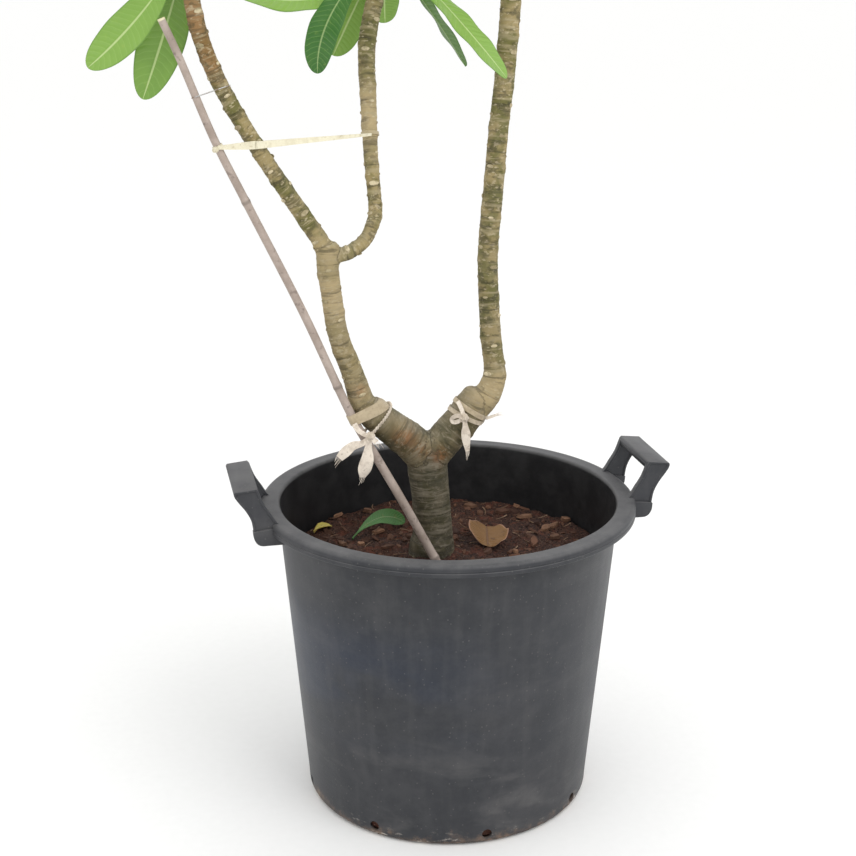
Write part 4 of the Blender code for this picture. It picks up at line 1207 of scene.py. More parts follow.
barkMaterial = makeBarkMaterial()
trunk = makeObject("barkSkin", *limbTubes())
remesh = trunk.modifiers.new("oneSkin", "REMESH")
remesh.mode = "VOXEL"
remesh.voxel_size = wood["voxel"]
soften = trunk.modifiers.new("soften", "SMOOTH")
soften.factor = 0.5
soften.iterations = 5
bakeModifiers(trunk)
trunk.data.shade_smooth()
points = np.zeros(len(trunk.data.vertices) * 3)
trunk.data.vertices.foreach_get("co", points)
points = points.reshape(-1, 3)
normals = np.array([tuple(vert.normal) for vert in trunk.data.vertices])
limb, along, turn, radius = limbPlaces(points)
pitch = wood["scarPitch"]
nearest = np.round(along / pitch)
relief = np.zeros(len(points))
for step in (-1, 0, 1):
    order = nearest + step
    gap = (turn - order * goldenAngle + math.pi) % (2 * math.pi) - math.pi
    spread = ((along - order * pitch) / wood["knobAlong"]) ** 2 + (gap * radius / wood["knobAround"]) ** 2
    relief += wood["scarHeight"] * np.exp(-spread)
rough = np.array([noise.noise(Vector((c * r * 60, s * r * 60, a * 380 + n * 9)))
                  for c, s, r, a, n in zip(np.cos(turn), np.sin(turn), radius, along, limb)])
relief += wood["ringHeight"] * rough


def nearSpot(spot, size):
    return np.exp(-(np.linalg.norm(points - np.array(spot), axis=1) / size) ** 2)


# ridged lumps where old stems ended
lumps = (((-0.150, -0.006, 0.681), 0.007, 0.0016), ((-0.128, -0.006, 0.684), 0.006, 0.0014),
         ((-0.082, 0.000, 0.492), 0.006, 0.0026), ((-0.092, -0.002, 0.499), 0.005, 0.0018),
         ((0.026, -0.002, 0.500), 0.007, 0.0016))
for spot, size, height in lumps:
    relief += height * nearSpot(spot, size) * (1 + 0.5 * rough)
points = points + normals * relief[:, None]
trunk.data.vertices.foreach_set("co", points.ravel())
trunk.data.update()
barkPlace = np.column_stack([radius * np.cos(turn), radius * np.sin(turn), along + wood["limbShift"] * limb])
addField(trunk, "barkPlace", barkPlace, "FLOAT_VECTOR")
limbNames = list(limbs)
firstAge = {"foot": 0.0, "trunk": 0.0, "leftLimb": 0.25, "rightLimb": 0.25, "leftBranch": 0.7,
            "rightBranch": 0.75, "leftSpray": 0.95, "middleSpray": 0.95}
age = np.array([firstAge[limbNames[n]] for n in limb]) + 0.25 * np.clip(along / 0.4, 0, 1)
addField(trunk, "barkAge", np.clip(age, 0, 1))


# stained and bleached parts of the bark: middle, size and strength
stains = {
    "rustPatch": [((-0.056, -0.014, 0.456), 0.013, 1.0), ((-0.014, -0.018, 0.431), 0.010, 0.9),
                  ((-0.036, -0.020, 0.440), 0.010, 0.6), ((-0.106, -0.008, 0.513), 0.008, 0.9),
                  ((-0.279, -0.012, 0.935), 0.040, 0.75), ((-0.262, -0.012, 0.885), 0.022, 0.55)],
    "tanPatch": [((0.048, -0.006, 0.500), 0.033, 1.0), ((-0.134, -0.012, 0.622), 0.050, 0.9),
                 ((-0.100, -0.002, 0.505), 0.030, 0.5), ((-0.083, 0.046, 0.820), 0.045, 0.9),
                 ((-0.141, -0.012, 0.680), 0.016, 0.7), ((-0.058, -0.010, 0.470), 0.010, 0.5),
                 ((-0.024, -0.018, 0.452), 0.010, 0.5)],
}
for name, rows in stains.items():
    strengths = sum(strength * nearSpot(spot, size) for spot, size, strength in rows)
    addField(trunk, name, np.clip(strengths, 0, 1))
trunk.data.materials.append(barkMaterial)
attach(trunk, "root")
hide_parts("trunk")
print("bark skin:", len(trunk.data.polygons), "faces")

lineVerts, lineEdges, lineRadius = [], [], []
for name, rows in limbs.items():
    if name in ("foot", "trunk", "leftLimb", "rightLimb"):
        continue
    path = evenCurve(rows, wood["lineStep"])
    first = len(lineVerts)
    lineVerts += [tuple(point[:3]) for point in path]
    lineRadius += list(path[:, 3])
    lineEdges += [(first + k, first + k + 1) for k in range(len(path) - 1)]
scars = makeObject("leafScars", [], [])
scars.data.from_pydata(lineVerts, lineEdges, [])
addField(scars, "stemRadius", lineRadius)
growNodes(scars, makeScarTree(), {
    "Bark": trunk, "Pitch": wood["scarPitch"], "Width": wood["scarSize"],
    "Rise": wood["scarRise"], "Material": makeScarMaterial(),
})
fixNormals(scars)
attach(scars, "root")
print("leaf scars:", len(scars.data.polygons), "faces")


# leaves

leaf = {"length": 0.188, "width": 0.048, "thick": 0.0009, "ribDepth": 0.0016, "fold": 0.16,
        "rows": 34, "wave": 0.0014, "broadest": 0.66, "stalk": 0.085, "seed": 3}
acrossSteps = (-1.0, -0.95, -0.80, -0.60, -0.40, -0.20, -0.07, 0.0, 0.07, 0.20, 0.40, 0.60, 0.80, 0.95, 1.0)


def bladeWidth(t):
    # a stalk, a slow swell and a rounded end
    if t < leaf["broadest"]:
        return max(leaf["stalk"], math.sin(math.pi / 2 * t / leaf["broadest"]) ** 1.5)
    beyond = (t - leaf["broadest"]) / (1 - leaf["broadest"])
    return max(0.05, math.sqrt(max(0.0, 1 - beyond ** 2)))


def bladeShape(start, middle, end, width, face, rng, fold=leaf["fold"], curl=0.0):
    # one blade: points, faces, its own map, and 1 on the underside
    start, middle, end = (np.array(point, float) for point in (start, middle, end))
    bend = 2 * middle - (start + end) / 2
    rows, columns = leaf["rows"], len(acrossSteps)
    phase, ripples = rng.uniform(0, 6.28), rng.uniform(3.2, 4.8)
    wave = leaf["wave"] * min(1.0, width / 0.04) ** 2
    skew = rng.uniform(-0.05, 0.05)
    verts, uvs, under = [], [], []
    for k in range(rows + 1):
        t = 1 - (1 - k / rows) ** 1.6
        centre = (1 - t) ** 2 * start + 2 * t * (1 - t) * bend + t * t * end
        tangent = unit((1 - t) * (bend - start) + t * (end - bend))
        side = unit(np.cross(tangent, face))
        out = np.cross(side, tangent)
        half = width / 2 * bladeWidth(t)
        body = math.sin(math.pi * t)
        rib = leaf["ribDepth"] * (1.0 - 0.8 * t) * (1.3 if t < 0.15 else 1.0)
        stalk = max(0.0, 1 - t / 0.12)
        for under01 in (0, 1):
            for a in acrossSteps:
                reach = half * a
                rise = half * fold * (math.sqrt(a * a + 0.03) - 0.17) * (1 - 0.75 * stalk)
                rise -= half * 0.07 * a * a * body
                ripple = math.sin(ripples * 2 * math.pi * t + phase + (1.3 if a > 0 else 0))
                rise += wave * ripple * abs(a) ** 2.5 * body
                rise += curl * half * a * a * (0.4 + body) + skew * half * a
                if under01:
                    rise -= leaf["thick"] * (0.7 + 0.3 * (1 - abs(a)) + 0.9 * stalk)
                    rise -= rib * math.exp(-(reach / 0.0017) ** 2)
                else:
                    rise += 0.0003 * math.exp(-(reach / 0.0012) ** 2)
                verts.append(centre + side * reach + out * rise)
                uvs.append((a * 0.5 + 0.5, t))
                under.append(under01)
    faces = []
    stride = 2 * columns
    for k in range(rows):
        low, high = k * stride, (k + 1) * stride
        for j in range(columns - 1):
            faces.append((low + j, low + j + 1, high + j + 1, high + j))
            faces.append((low + columns + j + 1, low + columns + j, high + columns + j,
                          high + columns + j + 1))
        faces.append((low + columns - 1, low + 2 * columns - 1, high + 2 * columns - 1, high + columns - 1))
        faces.append((low + columns, low, high, high + columns))
    for low, flip in ((0, True), (rows * stride, False)):
        cap = [low + j for j in range(columns)] + [low + columns + j for j in reversed(range(columns))]
        faces.append(tuple(cap if flip else reversed(cap)))
    return verts, faces, uvs, under


def tipRows(rows, top, radius):
    path = evenCurve(rows, 0.0125)
    end = path[-1, :3]
    direction = unit(end - path[-2, :3])
    start = end + direction * 0.0006
    collar = start + direction * 0.014
    middle = (collar + np.array(top)) / 2
    return [(*start, rows[-1][3] * 0.97), (*collar, radius), (*middle, radius), (*top, radius * 0.75)]


def angleFrom(azimuth, centre):
    return (azimuth - centre + math.pi) % (2 * math.pi) - math.pi


def spiralLeaves(rows, count, turn, keepShort, keepOut, lowest):
    # the same rule as the solids: young leaves steep and short, old ones low and long
    start, top = np.array(rows[0][:3]), np.array(rows[-1][:3])
    leaves = []
    for index in range(count):
        share = index / (count - 1)
        azimuth = turn + index * goldenAngle
        for centre, spread in keepOut:
            offset = angleFrom(azimuth, centre)
            if abs(offset) < spread:
                azimuth = centre + math.copysign(spread, offset)
        rise = math.radians(lowest + (76 - lowest) * share)
        droop = math.radians(34 - 22 * share)
        length = leaf["length"] * (1.0 - 0.40 * share ** 1.5)
        for centre, spread in keepShort:
            if abs(angleFrom(azimuth, centre)) < spread:
                rise = max(rise, math.radians(66))
                droop = math.radians(14)
                length *= 0.9
        flat = np.array((math.cos(azimuth), math.sin(azimuth), 0))
        lift = np.array((0, 0, 1.0))
        foot = start + (top - start) * (0.42 + 0.50 * share)
        middle = foot + (flat * math.cos(rise) + lift * math.sin(rise)) * length * 0.5
        end = middle + (flat * math.cos(rise - droop) + lift * math.sin(rise - droop)) * length * 0.5
        face = lift - flat * math.sin(rise) * 0.8
        leaves.append((foot, middle, end, leaf["width"] * (1.0 - 0.24 * share), face))
    return leaves


def makeLeafMaterial(name, colours, roughs, bumpStrength):
    material, shader, spot = newMaterial(name, {"Specular IOR Level": 0.5, "Coat Roughness": 0.25})
    bladeMap = addNode("ShaderNodeUVMap", uv_map="bladeMap").outputs[0]
    tone = readAttribute("leafTone")
    under = readAttribute("underSide")
    veins = useGroup(leafVeins, {"Map": bladeMap, "Pairs": 24.0, "Slope": 1.5, "Rib Width": 0.038})
    cloud = softMask(spot, 30.0, 0.35, 0.68)
    spots = softMask(spot, 120.0, 0.60, 0.72)
    grain = grainOf(spot, 1500.0, 700.0, 0.12)
    colour = blendColour(tone, colours["deep"], colours["light"])
    colour = paint(colour, colours["light"], cloud, remap(tone, 0, 1, 0.06, 0.35))
    # painted shade: on leaves of low tone the underside goes to the darker shade colour
    below = blendColour(tone, colours["shade"], colours["under"])
    colour = paint(colour, below, under, 0.65)
    colour = paint(colour, colours["spot"], spots, colours["spotShare"])
    colour = paint(colour, colours["vein"], veins["Veins"], 0.20)
    colour = paint(colour, colours["margin"], veins["Margin"], 0.55)
    colour = paint(colour, colours["rib"], veins["Rib"], remap(tone, 0, 0.5, 0.40, 0.75))
    roughness = calc("ADD", remap(cloud, 0, 1, roughs[0], roughs[1]), times(under, 0.15))
    height = calc("MULTIPLY_ADD", grain["Height"], 0.15, veins["Height"])
    finishMaterial(shader, colour, roughness, height, bumpStrength, 0.0010)
    return material


def makeTipMaterial():
    material, shader, spot = newMaterial("greenTipSkin", {"Specular IOR Level": 0.45})
    patches = softMask(stretched(spot, (1, 1, 2)), 55.0, 0.4, 0.65)
    grain = grainOf(spot, 700.0, 220.0, 0.16)
    colour = blendColour(patches, (0.100, 0.190, 0.040), (0.210, 0.300, 0.085))
    colour = paint(colour, (0.420, 0.440, 0.240), grain["Flecks"], 0.5)
    finishMaterial(shader, colour, remap(patches, 0, 1, 0.45, 0.65), grain["Height"], 0.4, 0.0006)
    return material


greenLeaf = makeLeafMaterial("freshLeafGreen", {
    "deep": (0.026, 0.120, 0.010), "light": (0.225, 0.395, 0.062), "shade": (0.060, 0.150, 0.022),
    "under": (0.300, 0.440, 0.140), "spot": (0.300, 0.380, 0.060), "spotShare": 0.16,
    "vein": (0.360, 0.540, 0.160), "margin": (0.060, 0.160, 0.018),
    "rib": (0.500, 0.630, 0.270),
}, (0.34, 0.46), 0.5)
wiltedLeaf = makeLeafMaterial("wiltedLeafGreen", {
    "deep": (0.030, 0.110, 0.024), "light": (0.075, 0.210, 0.045), "shade": (0.060, 0.120, 0.040),
    "under": (0.120, 0.190, 0.085), "spot": (0.160, 0.150, 0.040), "spotShare": 0.35,
    "vein": (0.110, 0.210, 0.075), "margin": (0.050, 0.070, 0.020),
    "rib": (0.200, 0.290, 0.120),
}, (0.40, 0.55), 0.6)
dryLeaf = makeLeafMaterial("driedLeafBrown", {
    "deep": (0.055, 0.018, 0.006), "light": (0.330, 0.170, 0.042), "shade": (0.085, 0.034, 0.014),
    "under": (0.360, 0.200, 0.120), "spot": (0.045, 0.016, 0.007), "spotShare": 0.8,
    "vein": (0.330, 0.180, 0.070), "margin": (0.480, 0.265, 0.190),
    # the dark rib colour here is painted shadow in the valley of the fold along the rib
    "rib": (0.120, 0.055, 0.025),
}, (0.62, 0.85), 0.9)
paleLeaf = makeLeafMaterial("witheredLeafYellow", {
    "deep": (0.460, 0.330, 0.050), "light": (0.640, 0.560, 0.130), "shade": (0.360, 0.280, 0.080),
    "under": (0.520, 0.440, 0.160), "spot": (0.250, 0.120, 0.030), "spotShare": 0.5,
    "vein": (0.700, 0.620, 0.280), "margin": (0.350, 0.200, 0.040),
    "rib": (0.720, 0.640, 0.340),
}, (0.55, 0.75), 0.7)


def leafObject(name, blades, materials, tubes=()):
    # blades in one mesh, with stem tubes on the second material
    verts, faces, uvs, under, tones = [], [], [], [], []
    for (bladeVerts, bladeQuads, bladeUvs, bladeUnder), tone in blades:
        base = len(verts)
        verts += [tuple(point) for point in bladeVerts]
        faces += [tuple(base + k for k in quad) for quad in bladeQuads]
        uvs += bladeUvs
        under += bladeUnder
        tones += [tone] * len(bladeVerts)
    bladeFaces = len(faces)
    for rings in tubes:
        faces += ringFaces(len(rings), len(rings[0]), len(verts))
        for ring in rings:
            verts += [tuple(point) for point in ring]
            uvs += [(0.25, 0.5)] * len(ring)
            under += [0] * len(ring)
            tones += [0.5] * len(ring)
    item = makeObject(name, verts, faces, sharp=60)
    for material in materials:
        item.data.materials.append(material)
    for face in item.data.polygons:
        face.material_index = 0 if face.index < bladeFaces else 1
    addMap(item, "bladeMap", uvs)
    addField(item, "leafTone", tones)
    addField(item, "underSide", under)
    return fixNormals(item)


towardsFront = (0.10, -0.92, 0.38)
hanging = {
    "left": [
        ((-0.284, 0.000, 1.004), (-0.334, 0.000, 0.938), (-0.392, -0.008, 0.884),
         0.041, towardsFront, 0.80),
        ((-0.283, 0.003, 1.006), (-0.302, 0.021, 0.939), (-0.336, 0.018, 0.848),
         0.050, towardsFront, 0.66),
    ],
    "middle": [
        ((-0.058, 0.084, 0.998), (-0.146, 0.052, 0.950), (-0.253, 0.030, 0.972),
         0.042, (0.05, -0.55, 0.80), 1.0),
        ((-0.058, 0.083, 1.000), (-0.125, 0.030, 0.938), (-0.145, 0.018, 0.872),
         0.036, (-0.35, -0.85, 0.30), 0.0),
        ((-0.057, 0.086, 1.004), (-0.086, 0.112, 0.940), (-0.112, 0.122, 0.884),
         0.042, (0.25, -0.85, 0.40), 0.8),
        ((-0.055, 0.088, 1.000), (-0.049, 0.130, 0.956), (-0.045, 0.148, 0.919),
         0.037, (0.10, -0.90, 0.30), 0.8),
        ((-0.055, 0.082, 1.002), (-0.015, 0.028, 0.938), (0.021, 0.010, 0.878),
         0.038, (0.86, 0.10, 0.45), 0.10),
        ((-0.054, 0.081, 1.006), (0.005, 0.006, 0.935), (0.059, -0.024, 0.867),
         0.036, (0.35, -0.55, 0.75), 0.85),
    ],
    "right": [],
}
tips = {
    "left": {"stem": "leftSpray", "top": (-0.285, 0.000, 1.040), "radius": 0.0088, "count": 13,
             "turn": 0.3, "keepShort": [(math.radians(20), 0.55)], "keepOut": [], "lowest": 24},
    "middle": {"stem": "middleSpray", "top": (-0.050, 0.089, 1.042), "radius": 0.0095, "count": 11,
               "turn": 1.4, "keepShort": [(math.radians(200), 0.5)],
               "keepOut": [(math.radians(-22), 0.75)], "lowest": 26},
    "right": {"stem": "rightBranch", "top": (0.088, 0.034, 1.180), "radius": 0.0098, "count": 15,
              "turn": 2.2, "keepShort": [(math.radians(158), 0.8)], "keepOut": [], "lowest": 4},
}
tipSkin = makeTipMaterial()
rng = random.Random(leaf["seed"])
for side, tip in tips.items():
    rows = tipRows(limbs[tip["stem"]], tip["top"], tip["radius"])
    blades = []
    for start, middle, end, width, face, tone in hanging[side]:
        blades.append((bladeShape(start, middle, end, width, face, rng), tone))
    for row in spiralLeaves(rows, tip["count"], tip["turn"], tip["keepShort"], tip["keepOut"], tip["lowest"]):
        blades.append((bladeShape(*row, rng), rng.uniform(0.15, 0.8)))
    item = leafObject(side + "Leaves", blades, (greenLeaf, tipSkin), [tubeRings(rows, 20, 0.004, True)])
    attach(item, "root")
    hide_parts("leaves_" + side)
    print(side + " leaves:", len(item.data.polygons), "faces")


# shed leaves on the soil

shed = [
    ("fallen_leaf_green", "leaf_green", wiltedLeaf, (-0.108, 0.058), (-0.068, 0.090), (-0.034, 0.098),
     0.012, 0.021, (-0.35, -0.75, 0.55), 0.6, 0.16, 0.10),
    ("fallen_leaf_brown", "leaf_brown", dryLeaf, (0.064, 0.064), (0.056, 0.028), (0.049, -0.006),
     0.008, 0.050, (0.10, -0.25, 1.0), 0.45, 0.42, 0.12),
    ("fallen_leaf_yellow", "leaf_yellow", paleLeaf, (-0.152, 0.092), (-0.140, 0.100), (-0.127, 0.106),
     0.003, 0.016, (0, 0, 1), 0.5, 0.16, 0.10),
]
for node, slotName, material, start, middle, end, arch, width, face, tone, fold, curl in shed:
    rises = (0, arch, 0)
    spots = [np.array((*place, soil["level"] + rise)) for place, rise in zip((start, middle, end), rises)]
    verts, faces, uvs, under = bladeShape(*spots, width, np.array(face, float), rng, fold, curl)
    if node == "fallen_leaf_brown":
        verts = [point + np.array((0, 0, 0.0022 * noise.noise(Vector(point) * 90))) for point in verts]
    lift = max(castDown(*point[:2])[0].z - point[2] for point in verts) + soil["shedGap"]
    verts = [point + np.array((0, 0, lift)) for point in verts]
    name = "".join(part.title() for part in node.split("_"))
    item = leafObject(name[0].lower() + name[1:], [((verts, faces, uvs, under), tone)], (material,))
    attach(item, "root")
    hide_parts(node)
print("shed leaves are down")


# cane

cane = {
    "rows": [(-0.0250, -0.0330, 0.311, 0.0052), (-0.0625, -0.0240, 0.3835, 0.0052),
             (-0.0910, -0.0140, 0.436, 0.0052), (-0.1195, -0.0050, 0.4895, 0.0050),
             (-0.1710, -0.0090, 0.610, 0.0048), (-0.2310, -0.0140, 0.737, 0.0046),
             (-0.2640, -0.0160, 0.808, 0.0044), (-0.2950, -0.0160, 0.889, 0.0042),
             (-0.3140, -0.0160, 0.934, 0.0041)],
    "foot": 0.215, "jointGap": 0.240, "firstJoint": 0.1058, "jointSwell": 0.13,
    "jointLength": 0.0030, "sides": 24, "step": 0.0015,
}


def makeCaneTree():
    # a round cane with a swollen joint at even distances
    tree, given, result = newTree(
        "jointedCane", "GeometryNodeTree",
        [("Geometry", "Geometry", None), ("Sides", "Int", 20), ("Step", "Float", 0.002),
         ("First Joint", "Float", 0.1), ("Joint Gap", "Float", 0.12), ("Joint Swell", "Float", 0.1),
         ("Joint Length", "Float", 0.004), ("Material", "Material", None)],
        [("Geometry", "Geometry")],
    )
    curve = addNode("GeometryNodeMeshToCurve", {0: given["Geometry"]}).outputs[0]
    curve = addNode("GeometryNodeResampleCurve", {"Curve": curve, "Length": given["Step"]},
                    mode="LENGTH").outputs[0]
    along = addNode("GeometryNodeSplineParameter").outputs["Length"]
    beyond = calc("SUBTRACT", along, given["First Joint"])
    beside = calc("PINGPONG", beyond, times(given["Joint Gap"], 0.5))
    near = calc("DIVIDE", beside, given["Joint Length"])
    bell = calc("EXPONENT", times(times(near, near), -1.0))
    swell = calc("MULTIPLY_ADD", bell, given["Joint Swell"], 1.0)
    thick = times(readField("caneRadius"), swell)
    curve = stored(stored(curve, "caneAlong", along), "caneJoint", bell)
    ring = addNode("GeometryNodeCurvePrimitiveCircle", {
        "Resolution": given["Sides"], "Radius": 1.0,
    }).outputs[0]
    skin = addNode("GeometryNodeCurveToMesh", {
        "Curve": curve, "Profile Curve": ring, "Scale": thick, "Fill Caps": True,
    }).outputs[0]
    skin = addNode("GeometryNodeSetShadeSmooth", {"Geometry": skin}).outputs[0]
    finishShape(realized(skin), given, result)
    return tree


def makeCaneMaterial(length):
    material, shader, spot = newMaterial("weatheredCane", {"Specular IOR Level": 0.4})
    joint = readAttribute("caneJoint")
    cutEnd = remap(readAttribute("caneAlong"), length - 0.0030, length - 0.0012)
    fibre = noiseValue(stretched(spot, (900, 900, 22)), 1.0, 3.0)
    patches = softMask(spot, 22.0, 0.36, 0.66)
    mould = softMask(spot, 110.0, 0.58, 0.70)
    grain = grainOf(spot, 800.0, 260.0, 0.14)
    colour = blendColour(patches, (0.330, 0.265, 0.225), (0.500, 0.420, 0.370))
    colour = paint(colour, (0.240, 0.180, 0.140), fibre, 0.35)
    colour = paint(colour, (0.140, 0.110, 0.095), mould, 0.6)
    colour = paint(colour, (0.200, 0.165, 0.140), remap(joint, 0.35, 0.95, 0.0, 0.7))
    colour = paint(colour, (0.650, 0.580, 0.500), grain["Flecks"], 0.2)
    colour = paint(colour, (0.760, 0.690, 0.470), cutEnd)
    height = calc("ADD", fibre, times(joint, 1.5))
    finishMaterial(shader, colour, remap(patches, 0, 1, 0.50, 0.72), height, 0.4, 0.0006)
    return material


def caneLine():
    # the foot goes on straight into the soil
    rows = cane["rows"]
    low = np.array(rows[0][:3])
    direction = unit(low - np.array(rows[1][:3]))
    foot = low + direction * ((low[2] - cane["foot"]) / -direction[2])
    return evenCurve([(*foot, rows[0][3] * 0.9), *rows], 0.004)


path = caneLine()
caneBody = makeObject("caneStake", [], [])
caneBody.data.from_pydata([tuple(point[:3]) for point in path],
                          [(k, k + 1) for k in range(len(path) - 1)], [])
addField(caneBody, "caneRadius", path[:, 3])
growNodes(caneBody, makeCaneTree(), {
    "Sides": cane["sides"], "Step": cane["step"], "First Joint": cane["firstJoint"],
    "Joint Gap": cane["jointGap"], "Joint Swell": cane["jointSwell"],
    "Joint Length": cane["jointLength"],
    "Material": makeCaneMaterial(np.linalg.norm(np.diff(path[:, :3], axis=0), axis=1).sum()),
})
fixNormals(caneBody)
caneBody.data.set_sharp_from_angle(angle=math.radians(50))
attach(caneBody, "root")
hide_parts("cane")
print("cane:", len(caneBody.data.polygons), "faces")


# ties

cloth = {"thick": 0.0009, "columns": 6, "curl": 0.10, "wrinkle": 0.00035, "fray": 5}


def tightLoop(centre, normal, steps, targets, reach=0.048):
    # directions round a point, and how far out a loop lies that is pulled tight over the targets
    side = unit(np.cross(normal, (0, 1, 0)))
    turns = 2 * math.pi * np.arange(steps) / steps
    outs = np.outer(np.cos(turns), side) + np.outer(np.sin(turns), np.cross(normal, side))
    far = []
    for out in outs:
        hits = [target.ray_cast(Vector(centre + out * reach), Vector(-out), reach)[3] for target in targets]
        far.append(reach - min((distance for distance in hits if distance is not None), default=reach))
    lean = outs @ outs.T
    support = (lean * np.array(far)).max(1)
    return outs, np.where(lean > 0.05, support[:, None] / np.maximum(lean, 0.05), 1.0).min(0)


def creased(spot, seed):
    return noise.noise(Vector(spot * 260) + Vector((seed, 0, 0)))


def wrapStrip(centre, normal, width, targets, seed=0.0, steps=96, wear=1.0):
    # a strip pulled tight round whatever it is laid over
    normal = unit(normal)
    columns = cloth["columns"]
    offsets = [width * (j / columns - 0.5) for j in range(columns + 1)]
    loops = [tightLoop(np.array(centre) + normal * offset, normal, steps, targets) for offset in offsets]
    rings, uvs = [], []
    for k in range(steps):
        top, low, rowUv = [], [], []
        for offset, (outs, far) in zip(offsets, loops):
            spot = np.array(centre) + normal * offset + outs[k] * far[k]
            lift = 0.0003 + cloth["wrinkle"] * (0.8 + creased(spot, seed))
            top.append(spot + outs[k] * (lift + cloth["thick"]))
            low.append(spot + outs[k] * lift)
            rowUv.append((offset, 2 * math.pi * k / steps * far[k]))
        rings.append(top + low[::-1])
        uvs.append(rowUv + rowUv[::-1])
    return rings, uvs, True, wear


def wrapCord(centre, normal, targets, strand, turns, steps=144, wear=0.2):
    # two strands twisted together and pulled tight
    normal = unit(normal)
    outs, far = tightLoop(np.array(centre), normal, steps, targets)
    parts = []
    for half in (0, math.pi):
        rings = []
        for k in range(steps):
            lay = 2 * math.pi * turns * k / steps + half
            middle = centre + outs[k] * (far[k] + 1.9 * strand + 0.0002)
            middle = middle + 0.85 * strand * (math.cos(lay) * outs[k] + math.sin(lay) * normal)
            rings.append([middle + strand * (math.cos(turn) * outs[k] + math.sin(turn) * normal)
                          for turn in 2 * math.pi * np.arange(8) / 8])
        parts.append((rings, [[(0.001 * j, 0.001 * k) for j in range(8)] for k in range(steps)], True, wear))
    return parts


def stripRings(points, outs, widths, sides, seed, wear):
    # cross-sections of a limp strip, curled a little at its edges
    columns = cloth["columns"]
    rings, uvs = [], []
    length = 0.0
    for k, (point, out, width, side) in enumerate(zip(points, outs, widths, sides)):
        if k:
            length += np.linalg.norm(point - points[k - 1])
        top, low, rowUv = [], [], []
        for j in range(columns + 1):
            a = 2 * j / columns - 1
            spot = point + side * (width / 2 * a)
            crease = creased(spot, seed)
            lift = cloth["wrinkle"] * (0.8 + crease)
            lift += cloth["curl"] * width / 2 * a * a * (0.5 + 0.5 * crease)
            top.append(spot + out * (lift + cloth["thick"]))
            low.append(spot + out * lift)
            rowUv.append((a * width / 2, length))
        rings.append(top + low[::-1])
        uvs.append(rowUv + rowUv[::-1])
    return rings, uvs, False, wear


def tailStrip(rows, face, seed=0.0, wear=0.0):
    # a free end: rows of point and width
    path = evenCurve([(*point, width) for point, width in rows], 0.0012)
    centres = path[:, :3]
    outs, sides = [], []
    for k in range(len(centres)):
        tangent = unit(centres[min(len(centres) - 1, k + 1)] - centres[max(0, k - 1)])
        twist = 0.5 * math.sin(2.6 * k / len(centres) * math.pi + seed)
        side = unit(np.cross(tangent, unit(np.array(face)) + twist * 0.35 * np.cross(tangent, face)))
        sides.append(side)
        outs.append(np.cross(side, tangent))
    shift = np.array(outs) * (-cloth["thick"] / 2)
    return stripRings(centres + shift, outs, path[:, 3], sides, seed, wear)


def knotShape(centre, radii, seed):
    # a lumpy knot, drawn tight
    bm = bmesh.new()
    bmesh.ops.create_icosphere(bm, subdivisions=3, radius=1.0)
    verts = []
    for vert in bm.verts:
        x, y, z = vert.co
        fold = 0.10 * math.sin(7 * x + 4 * z + seed) + 0.07 * math.sin(9 * z - 3 * y)
        verts.append(np.array(centre) + np.array(vert.co) * (1 + fold) * np.array(radii))
    faces = [tuple(vert.index for vert in face.verts) for face in bm.faces]
    bm.free()
    return verts, faces


def tieObject(name, strips, knots, material, threads):
    verts, faces, uvs, wears = [], [], [], []
    for rings, rowUvs, closed, wear in strips:
        faces += ringFaces(len(rings), len(rings[0]), len(verts), closedAlong=closed)
        for ring, rowUv in zip(rings, rowUvs):
            verts += [tuple(point) for point in ring]
            uvs += rowUv
            wears += [wear] * len(ring)
    for knotVerts, knotFaces in knots:
        base = len(verts)
        faces += [tuple(base + k for k in face) for face in knotFaces]
        verts += [tuple(point) for point in knotVerts]
        uvs += [(point[0], point[2]) for point in knotVerts]
    wears += [0.3] * (len(verts) - len(wears))
    for start, direction in threads:
        base = len(verts)
        sway = np.array([rng.uniform(-1, 1) for _ in range(3)])
        middle = np.array(start) + direction * 0.004 + sway * 0.0008
        end = middle + direction * 0.004 + sway * 0.0022 - np.array((0, 0, 0.001))
        rings = tubeRings([(*start, 0.00030), (*middle, 0.00026), (*end, 0.00014)], 5, 0.0016)
        faces += ringFaces(len(rings), 5, base)
        for ring in rings:
            verts += [tuple(point) for point in ring]
            uvs += [(0, 0)] * len(ring)
    wears += [0.0] * (len(verts) - len(wears))
    item = makeObject(name, verts, faces, material, sharp=70)
    addField(item, "clothWear", wears)
    addMap(item, "clothMap", uvs)
    return fixNormals(item)


def frayEnds(point, side, direction, width):
    return [(np.array(point) + unit(side) * width * (k / (cloth["fray"] - 1) - 0.5), unit(direction))
            for k in range(cloth["fray"])]


def makeClothMaterial(name, pale, worn, soiled, soilShare):
    material, shader, spot = newMaterial(name, {
        "Specular IOR Level": 0.2, "Sheen Weight": 0.25, "Sheen Roughness": 0.5,
    })
    clothMap = addNode("ShaderNodeUVMap", uv_map="clothMap").outputs[0]
    weave = useGroup(clothWeave, {"Map": clothMap, "Threads": 7000.0})
    dirt = softMask(spot, 95.0, 0.42, 0.66)
    folds = noiseValue(spot, 240.0, 3.0)
    colour = blendColour(readAttribute("clothWear"), pale, worn)
    colour = paint(colour, soiled, dirt, soilShare)
    colour = paint(colour, soiled, weave["Gaps"], 0.35)
    colour = paint(colour, soiled, remap(folds, 0.42, 0.28, 0.0, 0.5))
    height = calc("MULTIPLY_ADD", folds, 1.4, weave["Height"])
    finishMaterial(shader, colour, remap(dirt, 0, 1, 0.85, 0.97), height, 0.55, 0.0005)
    return material


